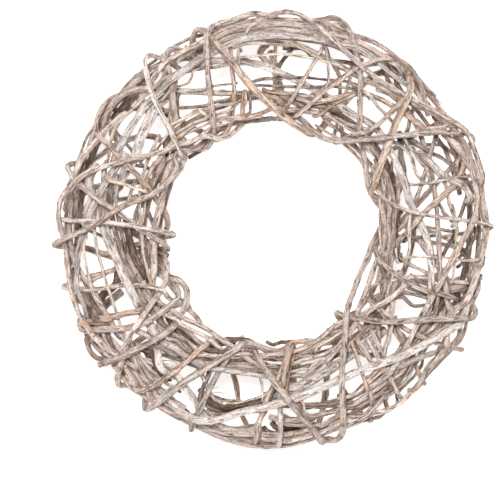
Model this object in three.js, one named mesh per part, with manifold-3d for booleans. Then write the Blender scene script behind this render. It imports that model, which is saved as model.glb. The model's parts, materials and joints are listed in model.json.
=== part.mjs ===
// A wooden wreath: grey washed vine rods woven round a hollow ring, laid flat with its front up.
// Millimetres. The ring's axis is +Z, the surface it lies on is z = 0, and +Y is its top as seen.
import * as THREE from "three";
import Module from "manifold-3d";

const wasm = await Module();
wasm.setup();

// The ring that the rods are woven round
const RING_RADIUS = 129;
const HALF_WIDTH = 43;
const HALF_HEIGHT = 33;
const CENTRE_Z = 35.5;

// How far a rod's course lies outside the ring's skin, by its layer in the weave
const LAYER = { top: 2.5, over: 0.5, mid: -1.5, under: -4 };
// A course that passes under the others between two stretches in sight lies this deep
const DIVE = -9;
// A rod's end is tucked in this deep, past a tail of this length
const TUCK = -8;
const TAIL = 62;
// A tail's share of heading round the tube: at most this for a hoop, at least this for a wrap
const HOOP_TURN = 0.3;
const WRAP_TURN = 0.8;
// Points in a tail, in a link under the other rods, in one round the back, and in a back hoop
const TAIL_STEPS = 4;
const UNDER_STEPS = 3;
const BACK_STEPS = 6;
const HOOP_STEPS = 8;

// Settling the rods against each other. Each round pushes pairs that are too close apart by a share
// of what is wanting, and eases every rod back towards its course.
const SPACING = 9;
const CLEARANCE = 0.38;
const ROUNDS = 420;
const LAST_ROUNDS = 300;
const PUSH = 0.9;
const SMOOTHING = 0.5;
const LAST_SMOOTHING = 0.25;
const HOLD = 0.03;
// Pairs are listed anew after this many rounds, out to this gap, and skip a rod's own next segments
const REFRESH = 15;
const REACH = 3;
const OWN_SEGMENTS = 4;
// Centre lines nearer than this are pushed apart along the skin's outward direction
const CROSSED = 0.3;
const FLAT_DEPTH = 0.6;
const BARK_COLOUR = 0xb9aca2;

// The solids
const STRAIGHTEN = 0.42;
const SIDES_THIN = 4;
const SIDES = 5;
const SIDES_THICK = 6;
const THIN = 3.2;
const THICK = 6;
const SLAB_SHARE = 0.66;
// A section's corners stand out this much past the rod's thickness, so that its sides don't cut in
const CORNERS = 1.06;

// Each rod: its name, its thickness at both ends, its layer, its kind and the stretches of it that
// show on the front. A stretch is a list of plan points [x, y], or [x, y, z] where it leaves the skin.
// Two stretches of a wrap are joined round the back, and two of a hoop under the other rods.
// A pair of layers gives one to each stretch, "tail" the lengths of the tails, and "cut" a last end
// that stays open as sawn, with no tail.
const RODS = [
  // Wraps that start at the outer edge, clockwise seen from the front
  {
    name: "wrap_top_to_upper_right",
    d: [5, 5.6],
    layer: "top",
    runs: [
      [[-56, 158], [-40, 139], [-15, 110], [10, 91], [22, 84]],
      [
        [97, 127, 18],
        [103, 135, 36],
        [105, 124, 52],
        [103, 108],
        [98.5, 96],
        [93, 82],
        [87, 60],
        [81, 38],
      ],
    ],
  },
  {
    name: "wrap_upper_left_to_upper_right",
    d: [5, 4.5],
    layer: ["under", "over"],
    runs: [
      [
        [-113, 112],
        [-78, 112],
        [-53, 110],
        [-28, 109],
        [-12, 109],
        [0, 105, 58],
        [6, 98, 44],
        [5, 94, 30],
        [3, 101, 13],
        [4, 113, 5],
        [1, 128, 4],
        [-12, 150, 9],
      ],
      [[47, 171], [61, 151], [66, 130], [66, 102], [66.5, 79], [72, 55], [80, 30]],
    ],
  },
  {
    name: "wrap_right_fork",
    d: [4.5, 4.2],
    layer: "mid",
    tail: [12, TAIL],
    runs: [[[150, 74], [153, 57], [141, 37], [118, 15.5], [99, -4], [90, -14]]],
  },
  {
    name: "rod_right_long_slant",
    d: [4.6, 4.2],
    layer: "over",
    kind: "hoop",
    tail: [30, TAIL],
    runs: [
      [
        [112, 103],
        [125, 97],
        [137, 88],
        [147, 78],
        [152, 66],
        [154, 52],
        [157, 38],
        [160, 26],
        [157, 10],
        [146, -10],
        [128, -44],
        [110, -76],
        [98, -98],
      ],
    ],
  },
  {
    name: "wrap_right_upper",
    d: [3.5, 4],
    layer: "under",
    tail: [TAIL, 20],
    runs: [
      [[124, 84, 18], [131, 87, 34], [129, 80, 50], [123, 64], [114, 36], [106, 14], [99, 2]],
      [[152, -18, 20], [158, -26, 36], [161, -38, 42], [160, -50, 46], [155, -58], [149, -66]],
    ],
  },
  // Wraps that start at the inner edge, clockwise seen from the front
  {
    name: "wrap_top_right_level",
    d: [5, 3.5],
    layer: "top",
    runs: [
      [
        [6, 99, 18],
        [10, 94, 36],
        [20, 86, 52],
        [38, 73, 60],
        [64, 72.5],
        [95, 75],
        [130, 78.5],
        [157, 75],
        [156, 68, 28],
        [148, 58, 10],
        [136, 44, 2],
        [124, 31, 1],
        [112, 18, 2],
        [100, 5, 8],
      ],
      [
        [88, -4, 20],
        [83, -11, 34],
        [82, -20, 50],
        [91.5, -31],
        [113, -45],
        [134, -53],
        [146, -59, 52],
        [151, -62, 38],
        [147, -61, 24],
      ],
    ],
  },
  {
    name: "wrap_right_thin",
    d: [3.5, 3],
    layer: "over",
    runs: [
      [[33, 106], [50, 119], [68, 131], [88, 137], [95, 137, 34], [93, 128, 16]],
      [[85, 27], [105, 15], [130, 10], [150, 8], [173, 3]],
    ],
  },
  {
    name: "wrap_inner_chord",
    d: [4.4, 5.5],
    layer: "top",
    runs: [
      [
        [86, 0, 34],
        [79, -19, 38],
        [69, -36, 45],
        [62, -56, 54],
        [56, -86, 65],
        [52.5, -115],
        [53.5, -143],
        [53.5, -155],
        [49, -165, 42],
        [41, -166, 28],
      ],
      [
        [30, -157, 11],
        [22, -146, 3],
        [17, -137, 1],
        [15, -120, 2],
        [15, -104, 7],
        [14, -93, 20],
        [11, -92, 36],
        [5, -95, 48],
        [-3, -96, 54],
        [-12, -92, 58],
        [-21, -89, 61],
        [-32, -94],
        [-44, -101],
        [-66, -115],
        [-83, -127],
        [-95, -137],
      ],
    ],
  },
  {
    name: "wrap_bottom_bent",
    d: [4.6, 4.2],
    layer: "over",
    runs: [
      [
        [45, -86, 48],
        [36, -87, 53],
        [24, -87.5, 55],
        [13.5, -87.5, 57],
        [9.5, -91, 60],
        [8, -98],
        [2, -115],
        [-6, -132],
        [-14, -153],
        [-15, -163],
        [-22, -160, 18],
        [-30, -143, 3],
        [-32, -125, 1],
        [-37, -108, 4],
        [-48, -97, 15],
      ],
      [[-56, -95, 24], [-49, -86, 40], [-52, -86, 56], [-61, -93.5], [-81, -111], [-104, -126]],
    ],
  },
  {
    name: "wrap_lower_right_thin",
    d: [3.2, 3],
    layer: "mid",
    runs: [[[56, -78], [61, -92], [67, -112.5], [74.5, -133], [77, -152]]],
  },
  // Wraps that start at the outer edge, anticlockwise
  {
    name: "wrap_top_to_left",
    d: [3.2, 4.5],
    layer: "mid",
    runs: [
      [[-39, 160], [-36, 133], [-33, 106], [-37, 82]],
      [[-143, 81], [-124.5, 60], [-101.5, 36], [-88, 20], [-85, 8]],
    ],
  },
  {
    name: "wrap_top_left_upright",
    d: [5, 4.2],
    layer: "top",
    runs: [
      [
        [-30, 168],
        [-50, 158],
        [-54, 140],
        [-52, 104],
        [-50.5, 84],
        [-53, 73, 48],
        [-60, 67, 42],
        [-70, 68, 34],
        [-86, 70, 8],
        [-104, 79, 1],
        [-126, 74, 3],
        [-150, 57, 14],
      ],
      [[-162, 42], [-142.5, 26], [-127, 16], [-99, -3], [-88, -11, 52], [-87, -14, 40], [-96, -14, 16]],
    ],
  },
  {
    name: "wrap_upper_left_pale",
    d: [4.2, 3.6],
    layer: "top",
    runs: [
      [
        [-104, 133],
        [-94, 101],
        [-84, 78],
        [-77, 58],
        [-79, 49, 30],
        [-88, 40, 12],
        [-102, 33, 3],
        [-118, 28, 1],
        [-136, 24, 2],
        [-153, 14, 8],
        [-166, 9.5, 19],
      ],
      [[-171, 8, 36], [-166, 7.5, 46], [-153, 6.5], [-130, 5], [-104, 1], [-83, -3]],
    ],
  },
  {
    name: "wrap_upper_left_second",
    d: [5.6, 4],
    layer: "mid",
    runs: [
      [[-90, 139], [-85, 106], [-80, 83], [-75, 64], [-76, 56, 34], [-84, 47, 15]],
      [[-170, 3], [-160.5, -32], [-141, -63], [-124.5, -83.5], [-113, -98]],
    ],
  },
  {
    name: "wrap_lower_left_level",
    d: [3.8, 3.6],
    layer: "mid",
    tail: [10, TAIL],
    runs: [
      [
        [-128, -28, 3],
        [-143, -33.5, 5],
        [-157, -38, 13],
        [-169, -43, 28],
        [-172, -46],
        [-147.5, -47.5],
        [-120, -43.5],
        [-96.5, -47.5],
        [-86, -53],
      ],
    ],
  },
  // Wraps that start at the inner edge, anticlockwise
  {
    name: "wrap_left_upper_long",
    d: [4, 5],
    layer: "top",
    runs: [
      [
        [-58, 76],
        [-72, 67],
        [-98, 59],
        [-127, 52.5],
        [-149, 46],
        [-165, 31],
        [-170, 22, 42],
        [-167, 15, 22],
        [-158, 9, 7],
        [-143, 5, 1],
        [-125, 2, 1],
        [-108, -6, 4],
      ],
      [
        [-98, -14, 10],
        [-91, -21, 28],
        [-88, -29, 42],
        [-88, -39, 54],
        [-104, -62.5],
        [-117, -82],
        [-125, -104],
        [-126, -122],
      ],
    ],
  },
  {
    name: "wrap_left_hole_loop",
    d: [4.6, 5.6],
    layer: "top",
    runs: [
      [
        [-79, 66],
        [-78, 52],
        [-93, 33],
        [-122, 19],
        [-145, 4],
        [-175, -10],
        [-168, -12, 16],
        [-153, -14.5, 4],
        [-141, -19, 1],
        [-129, -24, 1],
        [-114, -27, 5],
      ],
      [
        [-102, -27, 14],
        [-94, -32, 32],
        [-86, -36, 44],
        [-78, -40, 49],
        [-73, -48, 50],
        [-74.5, -60, 54],
        [-86, -77, 64],
        [-107, -90],
        [-130, -101],
        [-139, -104.5, 40],
        [-134, -103, 22],
      ],
    ],
  },
  {
    name: "wrap_lower_left_loop",
    d: [6, 4],
    layer: "over",
    runs: [
      [
        [-156, -78],
        [-135, -78],
        [-109, -75],
        [-90, -62],
        [-81.5, -51, 52],
        [-84, -40, 42],
        [-92, -32, 34],
      ],
    ],
  },
  {
    name: "wrap_bottom_to_lower_right",
    d: [5.2, 4.5],
    layer: "top",
    tail: [24, TAIL],
    runs: [
      [
        [-25, -101, 20],
        [-22, -95, 38],
        [-19, -95, 56],
        [-14, -104],
        [-3, -119],
        [10, -135],
        [24, -152],
        [35, -165],
        [37, -166, 38],
        [34, -158, 18],
        [38, -146, 6],
        [41, -130, 3],
        [43, -112, 4],
        [50, -92, 10],
        [55, -78, 26],
      ],
      [
        [58, -70],
        [88, -73],
        [113, -70.5],
        [138, -69],
        [149, -69, 54],
        [156, -64, 44],
        [153, -57, 34],
        [144, -52, 24],
      ],
    ],
  },
  {
    name: "wrap_right_lower_thin",
    d: [3.2, 2.8],
    layer: "mid",
    runs: [
      [[88, -40], [115.5, -35.5], [145, -40], [157, -41], [161, -41, 36], [156, -41, 20]],
      [[84, 37], [94, 38], [104, 38], [120, 38.5], [150, 44], [160, 45]],
    ],
  },
  {
    name: "wrap_top_straight",
    d: [3, 3.5],
    layer: "over",
    runs: [
      [[0, 106, 16], [0, 97, 34], [5, 96, 54], [17.5, 114], [35, 144], [47, 168]],
      [[73.5, 80], [94, 97], [106, 109], [107, 110, 38], [101, 104, 20]],
    ],
  },
  {
    name: "wrap_bottom_pale",
    d: [4.6, 5],
    layer: "mid",
    runs: [[[-33, -95], [-43, -108], [-50, -119], [-56, -130], [-62, -143], [-66, -152]]],
  },
  {
    name: "slab_lower_left_short",
    d: [6, 5.4],
    layer: "mid",
    runs: [[[-84, -108], [-76, -122], [-68, -133], [-60, -146]]],
  },
  // Rods with sawn ends at the lower right
  {
    name: "cut_rod_right",
    d: [3.4, 4],
    layer: "mid",
    cut: true,
    runs: [[[84, -62], [102, -77], [121, -86], [135, -92], [149, -96]]],
  },
  {
    name: "cut_rod_middle",
    d: [3.4, 3.5],
    layer: "under",
    cut: true,
    runs: [[[96, -82], [108, -99], [117, -118], [121, -123]]],
  },
  {
    name: "cut_rod_bottom",
    d: [3.6, 3.4],
    layer: "mid",
    cut: true,
    runs: [[[76, -92], [86, -109], [95.5, -126], [101, -135]]],
  },
  // Hoops on the front
  {
    name: "slab_top_to_right",
    d: [6, 5.6],
    layer: "mid",
    kind: "hoop",
    flat: true,
    runs: [
      [[-36, 136], [-8, 130], [17, 117.5], [45, 102], [60, 92]],
      [[89, 64], [97, 50], [102, 38], [106, 24], [113, 8], [119, -3], [124, -14], [126, -28]],
    ],
  },
  {
    name: "slab_top_outer",
    d: [6.4, 6],
    layer: "over",
    kind: "hoop",
    flat: true,
    runs: [[[-94, 109], [-76, 125], [-58, 137], [-44, 145], [-24, 151], [0, 154.5], [60, 146]]],
  },
  {
    name: "hoop_outer_right",
    d: [5.6, 5],
    layer: "mid",
    kind: "hoop",
    tail: [20, TAIL],
    runs: [[[150, 60], [157, 42], [165, 22], [171, 5], [169, -5], [160, -30]]],
  },
  {
    name: "hoop_top_right",
    d: [5, 3.6],
    layer: "mid",
    kind: "hoop",
    tail: [16, TAIL],
    runs: [
      [[2, 155], [21, 148], [50, 134], [80, 118], [99, 107]],
      [[127, 15], [128, -12], [129, -36]],
    ],
  },
  {
    name: "hoop_top_right_chord",
    d: [4, 4],
    layer: "top",
    kind: "hoop",
    tail: [TAIL, 14],
    runs: [
      [[14, 174], [45, 148], [78, 121], [112, 102], [139, 85], [148, 76], [153, 64], [157, 50], [160, 40]],
    ],
  },
  {
    name: "slab_left_pale",
    d: [8.4, 7],
    layer: "mid",
    kind: "hoop",
    flat: true,
    tail: [16, TAIL],
    runs: [
      [[-97, 101], [-103, 88], [-110, 75], [-116, 62], [-121, 52]],
      [[-139, 13], [-131, -12], [-118.5, -38], [-107, -60], [-100, -71]],
    ],
  },
  {
    name: "hoop_left_second",
    d: [4.5, 4.5],
    layer: "under",
    kind: "hoop",
    tail: [26, TAIL],
    runs: [[[-133, 14], [-124.5, -13], [-113, -36], [-97, -66]]],
  },
  {
    name: "stem_left_straw",
    d: [2.6, 2.6],
    layer: "over",
    kind: "hoop",
    runs: [
      [[-99, 109], [-113, 96], [-127, 83]],
      [[-143, 3], [-141, -17], [-132, -51], [-123, -77]],
    ],
  },
  {
    name: "slab_left_outer",
    d: [6.8, 4.4],
    layer: "mid",
    kind: "hoop",
    flat: true,
    runs: [[[-150, 4], [-157, -15], [-158, -35], [-153, -68], [-149, -84], [-143, -98], [-135, -105]]],
  },
  {
    name: "hoop_left_outer",
    d: [4.4, 4.6],
    layer: "over",
    kind: "hoop",
    runs: [[[-166, 36], [-172, 8], [-168, -20], [-160, -48], [-148, -72]]],
  },
  {
    name: "hoop_bottom_inner",
    d: [4.4, 3.6],
    layer: "over",
    kind: "hoop",
    runs: [
      [[66, -68], [48, -76], [33, -88], [10, -99], [-8, -101]],
      [[-50, -89], [-65, -80], [-76, -72]],
    ],
  },
  {
    name: "hoop_bottom_left_inner",
    d: [4, 4],
    layer: "mid",
    kind: "hoop",
    runs: [[[-90, -58], [-73, -71], [-57, -78], [-38, -92], [-17, -104]]],
  },
  {
    name: "hoop_bottom_middle",
    d: [3.4, 3.6],
    layer: "mid",
    kind: "hoop",
    runs: [
      [[-45, -100], [-25, -104], [-14, -106]],
      [[14, -101], [36, -98], [50, -93]],
    ],
  },
  {
    name: "hoop_lower_left",
    d: [3.5, 3.4],
    layer: "under",
    kind: "hoop",
    runs: [
      [[-112, -92], [-95, -95], [-72, -100]],
      [[-40, -109], [-15, -111], [4, -111]],
    ],
  },
  {
    name: "hoop_bottom_right",
    d: [5, 4.8],
    layer: "mid",
    kind: "hoop",
    tail: [16, TAIL],
    runs: [[[14, -150.5], [40, -145], [71, -132], [100, -113], [111, -102]]],
  },
  {
    name: "hoop_bottom_right_outer",
    d: [3.6, 3.6],
    layer: "over",
    kind: "hoop",
    tail: [30, 24],
    runs: [
      [
        [14, -166],
        [36, -160],
        [56, -151.5],
        [76, -146],
        [96, -138],
        [106, -129],
        [113, -119],
        [119, -108],
        [127, -97],
      ],
    ],
  },
  {
    name: "hoop_right_outer_loop",
    d: [5, 4.6],
    layer: "mid",
    kind: "hoop",
    tail: [TAIL, 36],
    runs: [[[139, -60], [146, -69], [150, -79], [147, -88], [137, -94.5], [123, -97.5], [112, -102]]],
  },
  {
    name: "hoop_bottom_long",
    d: [6.2, 5.6],
    layer: "over",
    kind: "hoop",
    tail: [TAIL, 18],
    runs: [
      [
        [-52, -148],
        [-30, -142],
        [5, -132],
        [35, -122.5],
        [65, -110.5],
        [95, -99.5],
        [120, -87],
        [148, -70],
      ],
    ],
  },
  {
    name: "slab_bottom_pale",
    d: [8.8, 7.8],
    layer: "under",
    kind: "hoop",
    flat: true,
    tail: [20, 36],
    runs: [[[9, -127], [28, -114], [48, -102], [60, -95]]],
  },
  {
    name: "hoop_outer_top_right",
    d: [4, 4],
    layer: "over",
    kind: "hoop",
    tail: [TAIL, 24],
    runs: [[[-12, 171], [10, 172], [35, 167], [60, 159.5], [80, 148.5], [98, 131], [109, 118]]],
  },
  {
    name: "hoop_outer_top_left",
    d: [4, 3.6],
    layer: "mid",
    kind: "hoop",
    runs: [[[-62, 150], [-45, 158], [-28, 163], [-8, 166], [17, 167]]],
  },
  {
    name: "hoop_inner_right",
    d: [4.2, 4],
    layer: "mid",
    kind: "hoop",
    runs: [[[88, 44], [95, 18], [95, -14], [88, -44]]],
  },
  {
    name: "hoop_inner_right_edge",
    d: [4, 4.2],
    layer: "over",
    kind: "hoop",
    runs: [[[86, 14, 40], [85, -8, 34], [78, -31, 36], [71, -54, 46], [60, -80]]],
  },
  {
    name: "hoop_inner_top",
    d: [3.6, 4.6],
    layer: "mid",
    kind: "hoop",
    runs: [
      [[-82, 70], [-62, 87], [-33, 92], [-5, 96]],
      [[27, 103], [48, 107], [68, 110]],
    ],
  },
  {
    name: "hoop_inner_top_left",
    d: [3.6, 3.4],
    layer: "over",
    kind: "hoop",
    runs: [[[-84, 40, 42], [-80, 60, 46], [-68, 69, 50], [-54, 77, 46], [-30, 86, 40]]],
  },
  {
    name: "hoop_inner_left",
    d: [6.6, 6],
    layer: "mid",
    kind: "hoop",
    runs: [[[-92, 30], [-96, -5], [-95, -26], [-95, -46]]],
  },
  {
    name: "stem_left_thin",
    d: [2.8, 2.8],
    layer: "mid",
    kind: "hoop",
    runs: [[[-107, 24], [-106, 0], [-105, -18], [-101, -36]]],
  },
  {
    name: "hoop_outer_bottom",
    d: [4.2, 4.2],
    layer: "mid",
    kind: "hoop",
    runs: [[[-64, -152], [-35, -162], [0, -165], [28, -160], [48, -154]]],
  },
  {
    name: "hoop_outer_bottom_edge",
    d: [4, 4],
    layer: "over",
    kind: "hoop",
    runs: [[[-28, -169], [5, -171.5], [22, -168.5], [38, -163], [54, -154.5]]],
  },
];

// Hoops along the back, by the angle round the ring where each starts, its arc, both in degrees,
// and where it lies round the tube at each end: 270 is the middle of the back
const BACK_HOOPS = [
  { name: "hoop_back_inner_1", d: [5, 4.4], start: 20, arc: 112, tube: [232, 246] },
  { name: "hoop_back_inner_2", d: [4.6, 4.2], start: 140, arc: 108, tube: [228, 250] },
  { name: "hoop_back_inner_3", d: [4.8, 4.4], start: 262, arc: 110, tube: [226, 244] },
  { name: "hoop_back_outer_1", d: [5, 4.6], start: 80, arc: 104, tube: [322, 330] },
  { name: "hoop_back_outer_2", d: [4.8, 4.4], start: 328, arc: 104, tube: [318, 324] },
];

const DEGREE = Math.PI / 180;

// A place on the ring's skin: round the ring, round the tube (0 outer edge, 90 front, 180 inner edge)
// and off the skin, to a point.
function place({ ring, tube, off }) {
  const r = RING_RADIUS + (HALF_WIDTH + off) * Math.cos(tube);
  const z = CENTRE_Z + (HALF_HEIGHT + off) * Math.sin(tube);
  return new THREE.Vector3(r * Math.cos(ring), r * Math.sin(ring), z);
}

// A plan point on the front, to its place. Past the tube's edges it stays level with the middle.
function read([x, y, z], off) {
  const ring = Math.atan2(y, x);
  const out = Math.hypot(x, y) - RING_RADIUS;
  if (z !== undefined) {
    const across = out / HALF_WIDTH;
    const up = (z - CENTRE_Z) / HALF_HEIGHT;
    const size = Math.hypot(across, up);
    return { ring, tube: Math.atan2(up, across), off: (size - 1) * HALF_WIDTH, point: [x, y, z] };
  }
  const share = out / (HALF_WIDTH + off);
  if (share > 1) return { ring, tube: 0, off: out - HALF_WIDTH };
  if (share < -1) return { ring, tube: Math.PI, off: -out - HALF_WIDTH };
  return { ring, tube: Math.acos(share), off };
}

function pointOf(spot) {
  if (spot.point) return new THREE.Vector3(...spot.point);
  return place(spot);
}

function turn(angle) {
  return Math.atan2(Math.sin(angle), Math.cos(angle));
}

// The way a course heads at one of its ends, in millimetres along the ring and round the tube.
function heading(spots, last) {
  const end = last ? spots.length - 1 : 0;
  const back = last ? end - 1 : 1;
  const along = turn(spots[end].ring - spots[back].ring) * RING_RADIUS;
  const round = turn(spots[end].tube - spots[back].tube) * HALF_WIDTH;
  const size = Math.hypot(along, round);
  return [along / size, round / size];
}

// A tail past one end of a course. A wrap's goes on round the edge, and a hoop's along the ring.
function tail(spots, last, rod) {
  const end = spots[last ? spots.length - 1 : 0];
  let [along, round] = heading(spots, last);
  if (rod.kind === "hoop") {
    round = Math.max(-HOOP_TURN, Math.min(HOOP_TURN, round));
  } else {
    let way = end.tube < Math.PI / 2 ? -1 : 1;
    if (Math.sin(end.tube) < 0) way = Math.sign(round);
    round = way * Math.max(way * round, WRAP_TURN);
  }
  const size = Math.hypot(along, round);
  along /= size;
  round /= size;
  const whole = (rod.tail ?? [TAIL, TAIL])[last ? 1 : 0];
  const list = [];
  for (let i = 1; i <= TAIL_STEPS; i++) {
    const length = (whole * i) / TAIL_STEPS;
    const tucked = Math.max(0, i - 1) / (TAIL_STEPS - 1);
    list.push({
      ring: end.ring + (along * length) / RING_RADIUS,
      tube: end.tube + (round * length) / HALF_WIDTH,
      off: Math.min(end.off, LAYER.top) + (TUCK - end.off) * tucked,
    });
  }
  return last ? list : list.reverse();
}

// An angle round the tube, counted from the front down the back: from a quarter turn to -3 quarters.
function behind(tube) {
  return tube > Math.PI / 2 ? tube - 2 * Math.PI : tube;
}

// The hidden stretch between two stretches that show. A hoop's passes under the other rods, and a
// wrap's round the back, where it lies as far off the skin as its stretch on the front.
function link(from, to, rod, stretch) {
  const ring = turn(to.ring - from.ring);
  const dives = rod.kind === "hoop";
  const tube = dives ? to.tube - from.tube : behind(to.tube) - behind(from.tube);
  const list = [];
  const steps = dives ? UNDER_STEPS : BACK_STEPS;
  for (let i = 1; i < steps; i++) {
    const share = i / steps;
    const smooth = share * share * (3 - 2 * share);
    const straight = from.off + (to.off - from.off) * share;
    const out = (layerOf(rod, stretch) - straight) * Math.sin(Math.PI * share);
    const off = dives ? DIVE : straight + out;
    list.push({ ring: from.ring + ring * share, tube: from.tube + tube * smooth, off });
  }
  return list;
}

// How far off the skin one of a rod's stretches lies.
function layerOf(rod, stretch) {
  const layers = [rod.layer].flat();
  return LAYER[layers[stretch] ?? layers[0]];
}

// A rod's whole course as evenly spaced points.
function course(rod) {
  const runs = rod.runs.map((run, i) => run.map((spot) => read(spot, layerOf(rod, i))));
  let spots = [];
  runs.forEach((run, i) => {
    if (i > 0) spots = spots.concat(link(runs[i - 1].at(-1), run[0], rod, i));
    spots = spots.concat(run);
  });
  spots = tail(spots, false, rod).concat(spots);
  if (!rod.cut) spots = spots.concat(tail(spots, true, rod));
  return spaced(spots.map(pointOf));
}

function backCourse(rod) {
  const spots = [];
  for (let i = 0; i <= HOOP_STEPS; i++) {
    const share = i / HOOP_STEPS;
    spots.push({
      ring: (rod.start + rod.arc * share) * DEGREE,
      tube: (rod.tube[0] + (rod.tube[1] - rod.tube[0]) * share) * DEGREE,
      off: LAYER.under,
    });
  }
  return spaced(spots.map(place));
}

function spaced(points) {
  const curve = new THREE.CatmullRomCurve3(points, false, "centripetal");
  const count = Math.max(4, Math.round(curve.getLength() / SPACING));
  return curve.getSpacedPoints(count);
}

// Outward direction of the ring's skin nearest a point.
function skinNormal(p) {
  const r = Math.hypot(p.x, p.y);
  const across = (r - RING_RADIUS) / HALF_WIDTH;
  const up = (p.z - CENTRE_Z) / HALF_HEIGHT;
  const n = new THREE.Vector3((across * p.x) / r, (across * p.y) / r, up);
  return n.lengthSq() < 1e-6 ? new THREE.Vector3(0, 0, 1) : n.normalize();
}

// Closest points of two segments, as their shares along each.
function closest(p1, q1, p2, q2) {
  const d1 = q1.clone().sub(p1);
  const d2 = q2.clone().sub(p2);
  const r = p1.clone().sub(p2);
  const a = d1.dot(d1);
  const e = d2.dot(d2);
  const f = d2.dot(r);
  const c = d1.dot(r);
  const b = d1.dot(d2);
  const denominator = a * e - b * b;
  let s = denominator > 1e-9 ? (b * f - c * e) / denominator : 0.5;
  s = Math.min(1, Math.max(0, s));
  let t = (b * s + f) / e;
  if (t < 0) {
    t = 0;
    s = Math.min(1, Math.max(0, -c / a));
  } else if (t > 1) {
    t = 1;
    s = Math.min(1, Math.max(0, (b - c) / a));
  }
  return [s, t];
}

// Pairs of segments near enough to touch soon.
function nearPairs(strands, reach) {
  const segments = [];
  strands.forEach((strand, k) => {
    for (let i = 0; i + 1 < strand.points.length; i++) {
      const a = strand.points[i];
      const b = strand.points[i + 1];
      const middle = a.clone().add(b).multiplyScalar(0.5);
      segments.push({ k, i, middle, half: a.distanceTo(b) / 2, r: strand.radius(i) });
    }
  });
  segments.sort((s, t) => s.middle.x - t.middle.x);
  const longest = Math.max(...segments.map((s) => s.half + s.r));
  const pairs = [];
  for (let m = 0; m < segments.length; m++) {
    const s = segments[m];
    for (let n = m + 1; n < segments.length; n++) {
      const t = segments[n];
      if (t.middle.x - s.middle.x > s.half + s.r + longest + reach) break;
      if (s.k === t.k && Math.abs(s.i - t.i) < OWN_SEGMENTS) continue;
      const limit = s.half + s.r + t.half + t.r + reach;
      if (s.middle.distanceTo(t.middle) < limit) pairs.push([s, t]);
    }
  }
  return pairs;
}

// Pushes every pair that is too close apart.
function separate(strands, pairs, share) {
  for (const [s, t] of pairs) {
    const one = strands[s.k];
    const two = strands[t.k];
    const p1 = one.points[s.i];
    const q1 = one.points[s.i + 1];
    const p2 = two.points[t.i];
    const q2 = two.points[t.i + 1];
    const [u, v] = closest(p1, q1, p2, q2);
    const a = p1.clone().lerp(q1, u);
    const b = p2.clone().lerp(q2, v);
    const away = a.clone().sub(b);
    const distance = away.length();
    const wanted = one.radius(s.i + u) + two.radius(t.i + v) + CLEARANCE;
    if (distance >= wanted) continue;
    if (distance < CROSSED) away.copy(skinNormal(a)).multiplyScalar(one.height > two.height ? 1 : -1);
    away.normalize().multiplyScalar((share * (wanted - distance)) / 2);
    const w1 = (1 - u) * (1 - u) + u * u;
    const w2 = (1 - v) * (1 - v) + v * v;
    p1.addScaledVector(away, (1 - u) / w1);
    q1.addScaledVector(away, u / w1);
    p2.addScaledVector(away, -(1 - v) / w2);
    q2.addScaledVector(away, -v / w2);
  }
}

// Draws each point back towards where the rod is meant to run, smoothly along the rod.
function relax(strand, smoothing, hold) {
  const { points, home } = strand;
  const shift = points.map((p, i) => p.clone().sub(home[i]));
  points.forEach((p, i) => {
    const before = shift[Math.max(0, i - 1)];
    const after = shift[Math.min(points.length - 1, i + 1)];
    const mean = before.clone().add(after).multiplyScalar(0.5);
    p.addScaledVector(mean.sub(shift[i]), smoothing);
    p.addScaledVector(shift[i], -hold);
  });
}

// The surface holds every rod up. The lowest ones are flattened on it a little.
function lift(strand) {
  strand.points.forEach((p, i) => {
    p.z = Math.max(p.z, strand.radius(i) - FLAT_DEPTH);
  });
}

function settle(strands, rounds, smoothing, hold) {
  let pairs = [];
  for (let round = 0; round < rounds; round++) {
    if (round % REFRESH === 0) pairs = nearPairs(strands, REACH);
    const ease = 1 - round / rounds;
    for (const strand of strands) relax(strand, smoothing * ease, hold * ease);
    separate(strands, pairs, PUSH);
    for (const strand of strands) lift(strand);
  }
}

// Drops points where the rod runs nearly straight.
function thinned(points, limit) {
  const keep = [0];
  const split = (from, to) => {
    let far = 0;
    let at = -1;
    const line = new THREE.Line3(points[from], points[to]);
    const foot = new THREE.Vector3();
    for (let i = from + 1; i < to; i++) {
      const d = line.closestPointToPoint(points[i], true, foot).distanceTo(points[i]);
      if (d > far) {
        far = d;
        at = i;
      }
    }
    if (far > limit) {
      split(from, at);
      keep.push(at);
      split(at, to);
    }
  };
  split(0, points.length - 1);
  keep.push(points.length - 1);
  return keep;
}

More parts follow.
